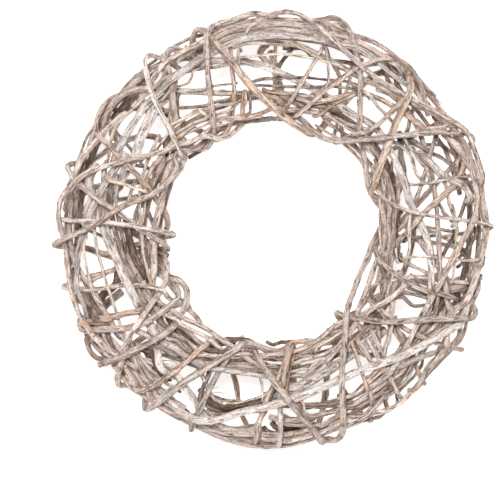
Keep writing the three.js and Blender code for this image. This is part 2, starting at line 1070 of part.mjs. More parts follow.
// A closed tube along the strand's points. A slab's section is flat along the ring's skin.
function tube(strand) {
  const { points, rod } = strand;
  const thickest = Math.max(...rod.d);
  let sides = SIDES;
  if (thickest <= THIN) sides = SIDES_THIN;
  if (thickest >= THICK) sides = SIDES_THICK;
  const positions = [];
  const faces = [];
  let side = null;
  points.forEach((p, i) => {
    const before = points[Math.max(0, i - 1)];
    const after = points[Math.min(points.length - 1, i + 1)];
    const into = p.clone().sub(before).normalize();
    const on = after.clone().sub(p).normalize();
    const along = into.add(on).normalize();
    if (!side || rod.flat) side = new THREE.Vector3().crossVectors(along, skinNormal(p));
    side.addScaledVector(along, -side.dot(along)).normalize();
    const up = new THREE.Vector3().crossVectors(side, along);
    const r = strand.radius(i);
    const thickness = rod.flat ? SLAB_SHARE : 1;
    for (let k = 0; k < sides; k++) {
      const angle = ((k + 0.5) * 2 * Math.PI) / sides;
      const v = p.clone();
      v.addScaledVector(side, r * Math.cos(angle));
      v.addScaledVector(up, r * thickness * Math.sin(angle));
      positions.push(v.x, v.y, v.z);
    }
  });
  const rings = points.length;
  for (let i = 0; i + 1 < rings; i++) {
    for (let k = 0; k < sides; k++) {
      const a = i * sides + k;
      const b = i * sides + ((k + 1) % sides);
      faces.push(a, a + sides, b, b, a + sides, b + sides);
    }
  }
  const last = (rings - 1) * sides;
  for (let k = 1; k + 1 < sides; k++) {
    faces.push(0, k, k + 1);
    faces.push(last, last + k + 1, last + k);
  }
  return solid(positions, faces);
}

// The solid as a manifold, cut flat where it dips below the surface, back as a geometry.
function solid(positions, faces) {
  const numbers = { numProp: 3, vertProperties: new Float32Array(positions) };
  let made = new wasm.Manifold(new wasm.Mesh({ ...numbers, triVerts: new Uint32Array(faces) }));
  if (made.volume() < 0) {
    const reversed = [];
    for (let i = 0; i < faces.length; i += 3) reversed.push(faces[i], faces[i + 2], faces[i + 1]);
    made = new wasm.Manifold(new wasm.Mesh({ ...numbers, triVerts: new Uint32Array(reversed) }));
  }
  if (made.boundingBox().min[2] < 0) made = made.trimByPlane([0, 0, 1], 0);
  const mesh = made.getMesh();
  const geometry = new THREE.BufferGeometry();
  const vertices = new Float32Array(mesh.vertProperties);
  geometry.setAttribute("position", new THREE.BufferAttribute(vertices, 3));
  geometry.setIndex(new THREE.BufferAttribute(new Uint32Array(mesh.triVerts), 1));
  return geometry;
}

function strandOf(rod, points, height) {
  const strand = { rod, points, height, home: points.map((p) => p.clone()) };
  strand.radius = (i) => {
    const share = Math.min(1, i / (strand.points.length - 1));
    return ((rod.d[0] + (rod.d[1] - rod.d[0]) * share) / 2) * CORNERS;
  };
  return strand;
}

// Of two rods whose centre lines meet, the one with the greater height is pushed outwards
const strands = RODS.map((rod, i) => strandOf(rod, course(rod), layerOf(rod, 0) + i / RODS.length));
for (const rod of BACK_HOOPS) strands.push(strandOf(rod, backCourse(rod), LAYER.under));

settle(strands, ROUNDS, SMOOTHING, HOLD);

const wreath = new THREE.Group();
wreath.name = "wreath";
for (const strand of strands) {
  const keep = thinned(strand.points, STRAIGHTEN);
  const radii = keep.map((i) => strand.radius(i));
  strand.points = keep.map((i) => strand.points[i]);
  strand.home = strand.points.map((p) => p.clone());
  strand.radius = (i) => {
    const low = Math.min(radii.length - 1, Math.floor(i));
    const high = Math.min(radii.length - 1, low + 1);
    return radii[low] + (radii[high] - radii[low]) * (i - low);
  };
}
settle(strands, LAST_ROUNDS, LAST_SMOOTHING, 0);

// The origin is the middle of the wreath's box, on the surface
const box = new THREE.Box3();
for (const strand of strands) {
  const geometry = tube(strand);
  geometry.computeBoundingBox();
  box.union(geometry.boundingBox);
  const mesh = new THREE.Mesh(geometry, new THREE.MeshStandardMaterial({ color: BARK_COLOUR }));
  mesh.name = strand.rod.name;
  wreath.add(mesh);
}
const middle = box.getCenter(new THREE.Vector3());
for (const mesh of wreath.children) mesh.geometry.translate(-middle.x, -middle.y, 0);

export default wreath;
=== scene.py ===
"""The wooden wreath in detail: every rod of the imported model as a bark-covered vine, with finer stems,
straws and fibres between them, lying face up on a pale floor."""

import heapq
import json
import math
import random

import bpy
import numpy as np
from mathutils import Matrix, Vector
from mathutils.kdtree import KDTree


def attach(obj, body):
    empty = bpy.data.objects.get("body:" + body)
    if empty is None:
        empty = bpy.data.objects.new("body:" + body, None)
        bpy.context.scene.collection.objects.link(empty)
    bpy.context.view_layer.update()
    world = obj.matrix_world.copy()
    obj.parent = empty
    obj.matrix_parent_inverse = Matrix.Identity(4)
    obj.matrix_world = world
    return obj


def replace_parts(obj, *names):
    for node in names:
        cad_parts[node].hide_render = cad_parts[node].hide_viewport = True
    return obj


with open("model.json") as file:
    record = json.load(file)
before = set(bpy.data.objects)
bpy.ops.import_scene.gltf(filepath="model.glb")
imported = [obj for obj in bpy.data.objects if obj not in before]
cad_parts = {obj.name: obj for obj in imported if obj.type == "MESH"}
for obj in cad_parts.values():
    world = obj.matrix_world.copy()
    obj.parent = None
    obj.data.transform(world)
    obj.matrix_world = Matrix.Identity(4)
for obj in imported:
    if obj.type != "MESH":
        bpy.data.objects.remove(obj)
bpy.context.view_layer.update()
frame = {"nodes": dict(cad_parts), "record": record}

# Millimetres, as in the part's source; MM turns them into metres
MM = 0.001
RING_RADIUS = 129.0
HALF_WIDTH = 43.0
HALF_HEIGHT = 33.0
CENTRE_Z = 35.5
# The ring's centre in the part's frame, whose origin is the middle of the wreath's box
RING_CENTRE = np.array([2.246, -2.453, 0.0])

# The fine shape: spacing of the sections, sides, how far a rod strays from its packed middle line,
# and a stem's share of that
ROD_STEP = 2.0
ROD_SIDES = 16
STEM_STEP = 2.6
STEM_SIDES = 9
SHOOT_SIDES = 8
FIBRE_STEP = 1.5
FIBRE_SIDES = 5
STRAY = 0.8
STEM_STRAY = 0.7
SLAB_THICKNESS = 0.5
# A round rod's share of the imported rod's half thickness, which is measured at the corners
ROUND_SHARE = 0.97
# A cut end: how far it goes on past the last section, and its size, in shares of the radius
BEVEL = 0.3
END_SIZE = 0.74
# Swellings along a rod: height, in shares of the radius, and length
SWELLINGS = ((0.055, 8.0), (0.05, 31.0))
# Lobes round a rod: how many, and height
LOBES = ((2, 0.055), (3, 0.04), (5, 0.025))
# Furrows round a rod, and round one with a radius under THIN
FURROWS, FEW_FURROWS = 8, 5
THIN = 1.8
# Furrows and grit in the bark: depth or height, and length
FURROW_DEPTH, FURROW_LENGTH = 0.17, 21.0
GRIT_HEIGHT, GRIT_LENGTH = 0.045, 3.2
# A rod's twist: angle and length
TWIST, TWIST_LENGTH = 1.3, 55.0
# Lengths over which the bark's wear changes, for the whole rod and for a side of it, and its tan
WEAR_LENGTH, SIDE_WEAR_LENGTH, TAN_LENGTH = 24.0, 17.0, 38.0

# Joints: distance apart, size and length, and the share of them that has a side shoot
JOINTS_APART = (24, 70)
JOINT_SIZE = (0.08, 0.30)
JOINT_LENGTH = 2.3
SHOOT_CHANCE = 0.22
SHOOT_LENGTH = (1.2, 4.5)
# Side shoots are cut off at this length inside this distance from the ring's middle
STUB_LENGTH = 0.8
HOLE_EDGE = 98.0
# Shreds of bark: distance apart on a rod and on a stem, length, and how far they stand off
ROD_SHREDS_APART = 38
STEM_SHREDS_APART = 60
SHRED_LENGTH = (5, 14)
SHRED_LIFT = (0.3, 1.6)

# Surfaces with less than this between them get painted shade
SHADE_GAP = 1.8
# One UV unit is this long, in both directions
GRAIN = 10.0

# The finer stems: spacing of the points that settle, and the gap left beside rods and stems
SETTLE_STEP = 4.5
CLEARANCE = 0.1
# Other stems are looked for out to a stem's own thickness and this
STEMS_NEAR = 1.5
# In each round a point gives way by this share of what is wanted, and not further than this
PUSH = 0.6
LARGEST_PUSH = 2.0
# An end gives way by this share of that, and the points near it by more, so that it doesn't curl up
END_SHARE = 0.25
# How much of its shift a point evens out with its neighbours, and how much it gives up at first
EVEN_OUT = 0.5
HOLD = 0.04
ROUNDS = 22
# A stem goes on past the points read from the photo, by shares of its last stretch, and gets deeper
DIVES = ((0.44, 4.5), (0.22, 1.5))

# The names of the barks
GREY = "bark_grey"
# The dark and umber barks are partly darker bark and partly painted shade
DARK_AND_SHADED = "bark_dark"
TAN = "bark_tan"
UMBER_AND_SHADED = "bark_umber"
PALE = "peeled_pale"
STRAW = "straw"

# The camera looks straight down from this height over the plane where the picture is 400 mm wide
CAMERA_HEIGHT = 2000.0
SCALE_PLANE = 48.0
FRAME_WIDTH = 400.0
SENSOR = 36.0
# The plan point at the picture's middle
EYE = RING_CENTRE[:2] + (-20.8, -14.8)


def rng_for(name):
    return random.Random("wreath " + name)


def ease(t):
    return t * t * (3.0 - 2.0 * t)


def unit(v):
    return v / np.linalg.norm(v)


def units(rows):
    return rows / np.linalg.norm(rows, axis=1)[:, None]


def tree_of(points):
    """Points in a tree that finds those near a place."""
    tree = KDTree(len(points))
    for i, p in enumerate(points):
        tree.insert(p, i)
    tree.balance()
    return tree


def add_object(name, data):
    obj = bpy.data.objects.new(name, data)
    bpy.context.scene.collection.objects.link(obj)
    return obj


class Noise:
    """Smooth random values along a line, a new one each unit."""

    def __init__(self, rng, count=251):
        self.values = np.array([rng.uniform(-1.0, 1.0) for _ in range(count)])

    def __call__(self, x):
        low = np.floor(x).astype(int)
        t = ease(x - low)
        count = len(self.values)
        return self.values[low % count] * (1 - t) + self.values[(low + 1) % count] * t


class Bark:
    """Smooth random values over a rod's bark: some cells round it, and long cells along it."""

    def __init__(self, rng, around, rows=61):
        self.around = around
        self.values = np.array([[rng.uniform(-1.0, 1.0) for _ in range(around)] for _ in range(rows)])
        self.shift = np.array([rng.uniform(0, rows) for _ in range(around)])

    def column(self, columns, cells):
        v = cells[:, None] + self.shift[columns][None, :]
        low = np.floor(v).astype(int)
        t = ease(v - low)
        rows = len(self.values)
        first = self.values[low % rows, columns[None, :]]
        second = self.values[(low + 1) % rows, columns[None, :]]
        return first * (1 - t) + second * t

    def __call__(self, turn, cells):
        u = turn * self.around
        low = np.floor(u).astype(int)
        t = ease(u - low)[None, :]
        here = self.column(low % self.around, cells)
        beside = self.column((low + 1) % self.around, cells)
        return here * (1 - t) + beside * t


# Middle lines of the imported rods

# Two faces belong to one flat end when the cosine between them is above this
SAME_PLANE = 0.9995
# A section touches the floor when it comes this close to it
ON_FLOOR = 0.02


def farthest(start, points, near):
    """The vertex that lies farthest along the edges."""
    done = set()
    heap = [(0.0, start)]
    while heap:
        distance, v = heapq.heappop(heap)
        if v in done:
            continue
        done.add(v)
        last = v
        for w in near[v] - done:
            heapq.heappush(heap, (distance + float(np.linalg.norm(points[v] - points[w])), w))
    return last


def layers(layer, near):
    """What can be reached from the first layer, in layers of one step more each."""
    seen = set(layer)
    out = []
    while layer:
        out.append(layer)
        layer = sorted({w for v in layer for w in near[v]} - seen)
        seen.update(layer)
    return out


def cap_of(tip, points, faces_at, faces):
    """The corners of the flat end face that the vertex tip belongs to."""
    a, b, c = (points[[face[i] for face in faces]] for i in range(3))
    normals = units(np.cross(b - a, c - a))
    caps = []
    for start in faces_at[tip]:
        flat = normals @ normals[start] > SAME_PLANE
        beside = [{other for v in face for other in faces_at[v] if flat[other]} for face in faces]
        group = sum(layers([start], beside), [])
        caps.append(sorted({v for face in group for v in faces[face]}))
    return min(caps, key=lambda cap: np.ptp(points[cap], axis=0).max())


def middle_line(obj):
    """A packed rod's middle points, and its half thickness at its start and at its end."""
    mesh = obj.data
    raw = np.array([v.co[:] for v in mesh.vertices]) / MM
    keys = {}
    index = [keys.setdefault(tuple(p), len(keys)) for p in np.round(raw, 3)]
    points = np.array(list(keys))
    faces = []
    for polygon in mesh.polygons:
        face = [index[v] for v in polygon.vertices]
        if len(set(face)) == 3:
            faces.append(face)
    faces_at = [[] for _ in points]
    near = [set() for _ in points]
    for n, face in enumerate(faces):
        for v in face:
            faces_at[v].append(n)
            near[v].update(face)
    tip = farthest(farthest(0, points, near), points, near)
    rings = layers(cap_of(tip, points, faces_at, faces), near)
    middles = np.array([points[ring].mean(axis=0) for ring in rings])
    start_half, end_half = (np.linalg.norm(points[rings[i]] - middles[i], axis=1).max() for i in (0, -1))
    # A section pressed flat on the floor has a middle too high
    for i in range(1, len(middles) - 1):
        if points[rings[i]][:, 2].min() < ON_FLOOR:
            middles[i] = (middles[i - 1] + middles[i] * 2 + middles[i + 1]) / 4
    return middles, start_half, end_half


# Curves

TINY = 1e-6
# How fast a slab's face turns towards the ring's skin, from one point to the next
TURN_TO_SKIN = 0.35


def slope(a, b, c):
    """The unit-speed direction at b of a curve through a, b and c."""
    before = max(TINY, float(np.linalg.norm(b - a)))
    after = max(TINY, float(np.linalg.norm(c - b)))
    into = (b - a) / before
    on = (c - b) / after
    if np.allclose(a, b):
        return on
    if np.allclose(b, c):
        return into
    return (into * after + on * before) / (before + after)


def smooth_curve(points, step):
    """Points about a step apart on a smooth curve through the given points."""
    points = np.asarray(points, float)
    padded = [points[0], *points, points[-1]]
    out = []
    for before, start, end, after in zip(padded, padded[1:], padded[2:], padded[3:]):
        gap = max(TINY, float(np.linalg.norm(end - start)))
        leave = slope(before, start, end)
        arrive = slope(start, end, after)
        pieces = max(1, round(gap / step))
        for k in range(pieces):
            t = k / pieces
            h1 = 2 * t**3 - 3 * t**2 + 1
            h2 = t**3 - 2 * t**2 + t
            h3 = -2 * t**3 + 3 * t**2
            h4 = t**3 - t**2
            out.append(h1 * start + h2 * gap * leave + h3 * end + h4 * gap * arrive)
    out.append(points[-1])
    return np.array(out)


def arc_lengths(points):
    steps = np.linalg.norm(np.diff(points, axis=0), axis=1)
    return np.concatenate([[0.0], np.cumsum(steps)])


def skin_normal(p):
    """The direction out of the ring's skin near a point."""
    q = p - RING_CENTRE
    r = math.hypot(q[0], q[1])
    across = (r - RING_RADIUS) / HALF_WIDTH
    up = (q[2] - CENTRE_Z) / HALF_HEIGHT
    n = np.array([across * q[0] / r, across * q[1] / r, up])
    size = np.linalg.norm(n)
    return n / size if size > 1e-4 else np.array([0.0, 0.0, 1.0])


def frames(points, flat=False):
    """Directions along, sideways and up at every point. A slab's sideways lies along the skin."""
    along = units(np.gradient(points, axis=0))
    side = np.zeros_like(points)
    last = None
    for i, t in enumerate(along):
        if last is None or flat:
            s = np.cross(t, skin_normal(points[i]))
            if last is not None:
                turn = math.copysign(TURN_TO_SKIN, s.dot(last))
                s = turn * s / np.linalg.norm(s) + last * (1 - TURN_TO_SKIN)
        else:
            s = last
        s = unit(s - t * s.dot(t))
        side[i] = s
        last = s
    return along, side, np.cross(side, along)


# Rods as meshes


class Batch:
    """Gathers rods into one mesh, with their grain coordinates and colour values."""

    def __init__(self, name):
        self.name = name
        self.rods = []

    def build(self, bark):
        points, quads, quad_uvs, caps, cap_uvs, tints = zip(*self.rods)
        starts = np.cumsum([0] + [len(rod) for rod in points])
        quads = np.vstack([rod + start for rod, start in zip(quads, starts)]).tolist()
        caps = [(cap + start).tolist() for rod, start in zip(caps, starts) for cap in rod]
        points = np.vstack(points)
        points[:, 2] = np.maximum(points[:, 2], 0.0)
        mesh = bpy.data.meshes.new(self.name)
        mesh.from_pydata((points * MM).tolist(), [], quads + caps)
        layer = mesh.uv_layers.new(name="grain")
        layer.data.foreach_set("uv", np.vstack(quad_uvs + cap_uvs).astype(np.float32).ravel())
        tint = mesh.color_attributes.new("rod", "FLOAT_COLOR", "POINT")
        tint.data.foreach_set("color", np.vstack(tints).astype(np.float32).ravel())
        mesh.materials.append(BARKS[bark])
        mesh.materials.append(END_GRAIN)
        is_cap = np.zeros(len(mesh.polygons), np.int32)
        is_cap[len(quads) :] = 1
        mesh.polygons.foreach_set("material_index", is_cap)
        mesh.polygons.foreach_set("use_smooth", is_cap == 0)
        mesh.update()
        obj = add_object(self.name, mesh)
        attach(obj, "root")
        return obj


def joints_of(total, rng):
    """Where a rod grew its side shoots: place along it, angle round it, and size."""
    joints = []
    at = rng.uniform(6, JOINTS_APART[0] * 1.6)
    while at < total - 5:
        joints.append((at, rng.uniform(0, math.tau), rng.uniform(*JOINT_SIZE)))
        at += rng.uniform(*JOINTS_APART)
    return joints


def stray(middle, joints, rng, size):
    """A grown rod runs nearly straight from joint to joint, and turns a little at each."""
    _, side, up = frames(middle)
    s = arc_lengths(middle)
    places = [0.0] + [joint[0] for joint in joints] + [s[-1]]
    calm = np.clip(np.minimum(s, s[-1] - s) / 8.0, 0.0, 1.0)
    out = middle.copy()
    for direction, share in ((side, 1.0), (up, 0.55)):
        turns = [0.0] + [rng.uniform(-1, 1) for _ in joints] + [0.0]
        move = np.interp(s, places, turns) + 0.35 * Noise(rng)(s / 12.0)
        move[1:-1] = (move[:-2] + move[1:-1] * 2 + move[2:]) / 4
        out += direction * (move * calm * size * share)[:, None]
    return out


class Crowd:
    """Every rod's and stem's centre points, to find where surfaces lie close together and get painted
    shade.
    """

    def __init__(self, rods):
        rows = [(owner, p, r) for owner, points, radii in rods for p, r in zip(points, radii)]
        self.owner, self.at, self.half = (np.array(column) for column in zip(*rows))
        self.tree = tree_of(self.at)

    def crevice_shade(self, owner, middle, radius, surface):
        """How deep in the cracks between rods each part of a rod's surface lies, from 0 to 1, which sets
        its painted shade.
        """
        depth = np.zeros(surface.shape[:2])
        largest = self.half.max()
        for i, p in enumerate(middle):
            found = [j for _, j, _ in self.tree.find_range(p, radius[i] + largest + SHADE_GAP)]
            found = [j for j in found if self.owner[j] != owner]
            if not found:
                continue
            way = self.at[found] - p
            gap = np.linalg.norm(way, axis=1)
            near = np.clip(1.0 - (gap - radius[i] - self.half[found]) / SHADE_GAP, 0.0, 1.0)
            facing = np.clip(units(surface[i] - p) @ (way / gap[:, None]).T, 0.0, 1.0)
            depth[i] = (facing**2 * near).max(axis=1)
        return depth


def relief(s, turn, angle, radius, joints, rng, rough):
    """How far the bark stands out, in shares of the radius, and where furrows and joints darken it."""
    size = np.ones(len(s))
    for height, length in SWELLINGS:
        size += height * rough * Noise(rng)(s / length)
    shape = np.repeat(size[:, None], len(turn), axis=1)
    for lobes, height in LOBES:
        shape += height * np.cos(lobes * angle + rng.uniform(0, math.tau))
    cells = FURROWS if np.max(radius) > THIN else FEW_FURROWS
    furrow = np.clip(Bark(rng, cells)(turn, s / FURROW_LENGTH) * 2.4 - 0.7, 0.0, 1.0)
    shape -= FURROW_DEPTH * rough * furrow
    shape += GRIT_HEIGHT * rough * Bark(rng, len(turn))(turn, s / GRIT_LENGTH)
    dark = furrow * 0.75
    for at, facing, bump in joints:
        near = np.exp(-(((s - at) / JOINT_LENGTH) ** 2))[:, None]
        front = 0.5 + 0.5 * np.cos(angle - facing)
        shape += bump * rough * near * (0.3 + front**2)
        dark = np.maximum(dark, near * front**3)
    return shape, dark


def section(turn, angle, flat):
    """The points of each section, sideways and up, in shares of the radius."""
    if not flat:
        return np.cos(angle), np.sin(angle)
    x = np.cos(turn * math.tau)[None, :]
    y = np.sin(turn * math.tau)[None, :]
    return np.sign(x) * np.abs(x) ** 0.8, np.sign(y) * np.abs(y) ** 0.6 * SLAB_THICKNESS


def tints_of(s, turn, middle, dark, tan, rng):
    """The rod's tone, where its whitewash is worn, where it is dark with furrows, joints and painted shade,
    and where it is tan.
    """
    tints = np.zeros((len(s), len(turn), 4))
    tints[:, :, 0] = rng.random()
    wear = 0.5 + 0.35 * Noise(rng)(s / WEAR_LENGTH)[:, None]
    tints[:, :, 1] = wear + 0.15 * Bark(rng, 3)(turn, s / SIDE_WEAR_LENGTH)
    tints[:, :, 2] = dark
    tan_here = tan + 0.4 * Noise(rng)(s / TAN_LENGTH) + tan_by_place(middle)
    tints[:, :, 3] = np.clip(tan_here, 0, 1)[:, None]
    return tints.reshape(-1, 4)


def faces_of(count, sides):
    """The faces between a rod's sections, and its two ends."""
    around = np.arange(sides)
    rows = np.arange(count - 1)[:, None] * sides
    a = rows + around
    b = rows + (around + 1) % sides
    quads = np.stack([a, b, b + sides, a + sides], axis=-1).reshape(-1, 4)
    return quads, [around[::-1], around + (count - 1) * sides]


def grain_of(s, sides, caps, widest, rng):
    """Grain coordinates of the faces and of the two ends."""
    girth = math.tau * float(widest) / GRAIN
    start = rng.uniform(0, 400)
    v = s / GRAIN + start
    u = np.arange(sides + 1) / sides * girth + start * 0.37
    across_face = np.stack([u[:-1], u[1:], u[1:], u[:-1]], axis=-1)[None, :]
    along_face = np.stack([v[:-1], v[:-1], v[1:], v[1:]], axis=-1)[:, None]
    uv = np.stack(np.broadcast_arrays(across_face, along_face), axis=-1)
    angle = math.tau * (np.concatenate(caps) % sides) / sides
    return uv.reshape(-1, 2), girth * 0.12 * np.stack([np.cos(angle), np.sin(angle)], axis=-1)


def sweep(batch, middle, radius, rng, sides, joints=(), flat=False, rough=1.0, tan=0.3, owner=None):
    """Adds one rod along the middle points, with furrowed bark, knots and cut ends.

    A rod with an owner's name gets painted shade where the crowd comes close to it."""
    first = middle[0] + unit(middle[0] - middle[1]) * radius[0] * BEVEL
    last = middle[-1] + unit(middle[-1] - middle[-2]) * radius[-1] * BEVEL
    middle = np.vstack([first, middle, last])
    radius = np.concatenate([[radius[0] * END_SIZE], radius, [radius[-1] * END_SIZE]])
    s = arc_lengths(middle)
    _, side, up = frames(middle, flat)
    turn = np.arange(sides) / sides
    angle = (turn * math.tau)[None, :] + (TWIST * Noise(rng)(s / TWIST_LENGTH))[:, None]
    shape, dark = relief(s, turn, angle, radius, joints, rng, rough)
    x, y = section(turn, angle, flat)
    reach = shape * radius[:, None]
    points = middle[:, None, :] + side[:, None, :] * (x * reach)[:, :, None]
    points += up[:, None, :] * (y * reach)[:, :, None]
    if owner is not None:
        # Painted shade where other rods and stems lie close, on top of the furrows' and joints' darkening
        dark = np.maximum(dark, crowd.crevice_shade(owner, middle, radius, points))
    tints = tints_of(s, turn, middle, dark, tan, rng)
    quads, caps = faces_of(len(s), sides)
    uvs, cap_uvs = grain_of(s, sides, caps, np.max(radius), rng)
    batch.rods.append((points.reshape(-1, 3), quads, uvs, caps, cap_uvs, tints))


def add_shoots(batch, middle, radius, joints, rng):
    """Short side shoots, cut off close, at some of a rod's joints on its open side."""
    s = arc_lengths(middle)
    along = frames(middle)[0]
    for at, _, _ in joints:
        if rng.random() > SHOOT_CHANCE:
            continue
        i = min(max(int(np.searchsorted(s, at)), 2), len(middle) - 3)
        out = skin_normal(middle[i])
        out = unit(out - along[i] * out.dot(along[i]))
        across = np.cross(along[i], out)
        way = unit(out * 0.5 + across * rng.choice((-0.8, 0.8)) + along[i] * rng.choice((-0.7, 0.7)))
        length = radius[i] + rng.uniform(*SHOOT_LENGTH)
        if np.linalg.norm(middle[i][:2] - RING_CENTRE[:2]) < HOLE_EDGE:
            length = radius[i] + STUB_LENGTH
        line = np.array([middle[i] + way * (length * k / 4) for k in range(5)])
        thick = rng.uniform(0.32, 0.5) * radius[i]
        sweep(batch, line, np.linspace(1.15, 0.85, 5) * thick, rng, SHOOT_SIDES, rough=0.6)


def add_shreds(batch, middle, radius, rng, apart):
    """Slivers of bark that have come loose and stand off the rod at one end."""
    s = arc_lengths(middle)
    _, side, up = frames(middle)
    at = rng.uniform(4, apart)
    while at < s[-1] - 18:
        length = rng.uniform(*SHRED_LENGTH)
        angle = rng.uniform(0, math.tau)
        lift = rng.uniform(*SHRED_LIFT)
        ahead = rng.random() < 0.5
        line = []
        for k in range(7):
            t = k / 6
            spot = at + length * (t if ahead else 1 - t)
            i = min(int(np.searchsorted(s, spot)), len(middle) - 1)
            normal = side[i] * math.cos(angle) + up[i] * math.sin(angle)
            line.append(middle[i] + normal * (radius[i] * 0.97 + lift * t * t))
        line = smooth_curve(line, FIBRE_STEP)
        width = rng.uniform(0.28, 0.5)
        if np.min(np.linalg.norm(np.diff(line, axis=0), axis=1)) > 0.05:
            sweep(batch, line, np.linspace(1.0, 0.35, len(line)) * width, rng, FIBRE_SIDES, rough=0.3)
        at += rng.uniform(0.5, 1.5) * apart


# Materials


class Nodes:
    """Short names for building a material's nodes."""

    def __init__(self, name):
        self.material = bpy.data.materials.new(name)
        self.material.use_nodes = True
        self.tree = self.material.node_tree
        self.tree.nodes.clear()

    def new(self, kind, inputs, **settings):
        node = self.tree.nodes.new(kind)
        for key, value in settings.items():
            setattr(node, key, value)
        for key, value in inputs.items():
            self.feed(node.inputs[key], value)
        return node

    def feed(self, socket, value):
        """Sets a socket to a number, a colour or a vector, or links it to another node's output."""
        if isinstance(value, (int, float)):
            socket.default_value = value
        elif isinstance(value, tuple):
            socket.default_value = (*value, 1.0)[: len(socket.default_value)]
        else:
            self.tree.links.new(value, socket)

    def grain(self):
        return self.new("ShaderNodeUVMap", {}, uv_map="grain").outputs[0]

    def math(self, operation, a, b, clamp=False):
        return self.new("ShaderNodeMath", {0: a, 1: b}, operation=operation, use_clamp=clamp).outputs[0]

    def mix(self, share, a, b, blend="MIX"):
        inputs = {0: share, 6: a, 7: b}
        return self.new("ShaderNodeMix", inputs, data_type="RGBA", blend_type=blend).outputs[2]

    def ramp(self, value, low, high):
        inputs = {"Value": value, "From Min": low, "From Max": high}
        return self.new("ShaderNodeMapRange", inputs, clamp=True).outputs[0]

    def noise(self, vector, across, along, detail=3.0, rough=0.55):
        """Noise with its own number of cells in a UV unit, across the grain and along it."""
        mapping = self.new("ShaderNodeMapping", {"Scale": (across, along, 1.0), "Vector": vector})
        inputs = {"Scale": 1.0, "Detail": detail, "Roughness": rough, "Vector": mapping.outputs[0]}
        return self.new("ShaderNodeTexNoise", inputs).outputs[0]

    def finish(self, **inputs):
        """The material, with a shader whose inputs are named with _ for each space."""
        inputs = {key.replace("_", " "): value for key, value in inputs.items()}
        shader = self.new("ShaderNodeBsdfPrincipled", inputs)
        self.new("ShaderNodeOutputMaterial", {"Surface": shader.outputs[0]})
        return self.material


def bark_material(name, bare, light, mid, dark, tan):
    """Weathered bark by its grain: long fibres, dark cracks, worn whitewash and tan patches, with painted
    shade where rods lie close.
    """
    n = Nodes(name)
    grain = n.grain()
    data = n.new("ShaderNodeAttribute", {}, attribute_name="rod")
    # The colour values: random tone, worn whitewash, and darkening, which holds furrows and joints and
    # painted shade between rods
    tone, patch, furrow = n.new("ShaderNodeSeparateColor", {0: data.outputs["Color"]}).outputs
    tan_here = data.outputs["Alpha"]

    fibre = n.noise(grain, 8.0, 1.3, 4.0, 0.65)
    crack = n.noise(grain, 7.0, 0.9, 3.0, 0.62)
    pit = n.noise(grain, 9.0, 4.0, 3.0, 0.65)
    blotch = n.noise(grain, 1.7, 0.8, 3.0, 0.6)
    fleck = n.noise(grain, 7.0, 4.5, 3.0, 0.7)
    speck = n.noise(grain, 13.0, 8.0, 2.0, 0.6)

    washed = n.ramp(n.math("ADD", blotch, n.math("MULTIPLY", patch, 0.4)), bare, bare + 0.25)
    worn = n.mix(n.ramp(fibre, 0.38, 0.60), dark, mid)
    whitened = n.mix(n.ramp(fibre, 0.40, 0.56), mid, light)
    colour = n.mix(washed, worn, whitened)
    tan_share = n.math("MULTIPLY", n.ramp(blotch, 0.43, 0.55), tan_here, True)
    colour = n.mix(tan_share, colour, n.mix(n.ramp(fibre, 0.46, 0.66), tan, light))
    # Marks on the bark: their noise, where it fades them in, their strength and their colour
    marks = (
        (fleck, 0.55, 0.63, 0.60, light),
        (speck, 0.57, 0.64, 0.45, light),
        (crack, 0.58, 0.63, 0.90, dark),
        (pit, 0.59, 0.65, 0.80, dark),
        (n.math("SUBTRACT", 1.0, speck), 0.60, 0.66, 0.55, dark),
    )
    for noise, low, high, strength, paint in marks:
        colour = n.mix(n.math("MULTIPLY", n.ramp(noise, low, high), strength), colour, paint)
    # Darkens by furrows and joints and by painted shade where rods lie close
    colour = n.mix(n.math("MULTIPLY", furrow, 0.62), colour, dark)
    shade = n.math("ADD", 0.84, n.math("MULTIPLY", tone, 0.36))
    grey = n.new("ShaderNodeCombineColor", {0: shade, 1: shade, 2: shade}).outputs[0]
    height = n.math("SUBTRACT", fibre, n.math("MULTIPLY", n.ramp(crack, 0.54, 0.64), 0.8))
    height = n.math("SUBTRACT", height, n.math("MULTIPLY", n.ramp(pit, 0.55, 0.68), 0.6))
    bump = n.new("ShaderNodeBump", {"Strength": 1.0, "Distance": 0.0009, "Height": height})
    return n.finish(
        Base_Color=n.mix(1.0, colour, grey, "MULTIPLY"),
        Roughness=n.math("ADD", 0.72, n.math("MULTIPLY", fibre, 0.25)),
        Specular_IOR_Level=0.2,
        Normal=bump.outputs[0],
    )


def end_material():
    """A cut end: pale wood with growth rings and specks."""
    n = Nodes("end_grain")
    grain = n.grain()
    inputs = {"Scale": 9.0, "Distortion": 2.5, "Detail Scale": 3.0, "Vector": grain}
    rings = n.new("ShaderNodeTexWave", inputs, wave_type="RINGS", rings_direction="SPHERICAL")
    speck = n.noise(grain, 30.0, 30.0)
    colour = n.mix(rings.outputs[1], (0.46, 0.34, 0.24), (0.66, 0.55, 0.43))
    colour = n.mix(n.ramp(speck, 0.5, 0.75), colour, (0.25, 0.17, 0.11))
    return n.finish(Base_Color=colour, Roughness=0.85)


# Where the front rods have lost their outer bark and show tan wood: middle and reach, in plan
TAN_SPOTS = [
    (-17, 114, 13), (-6, 104, 13), (6, 92, 12), (44, 106, 14), (98, 96, 9), (103, 33, 9), (84, 46, 6),
    (155, 26, 6), (-140, 8, 12), (-126, -64, 14), (-148, -73, 10), (9, -93, 10), (-30, 97, 8), (118, 50, 7),
]
tan_at = np.array(TAN_SPOTS)[:, :2] + RING_CENTRE[:2]
tan_reach = np.array(TAN_SPOTS)[:, 2]


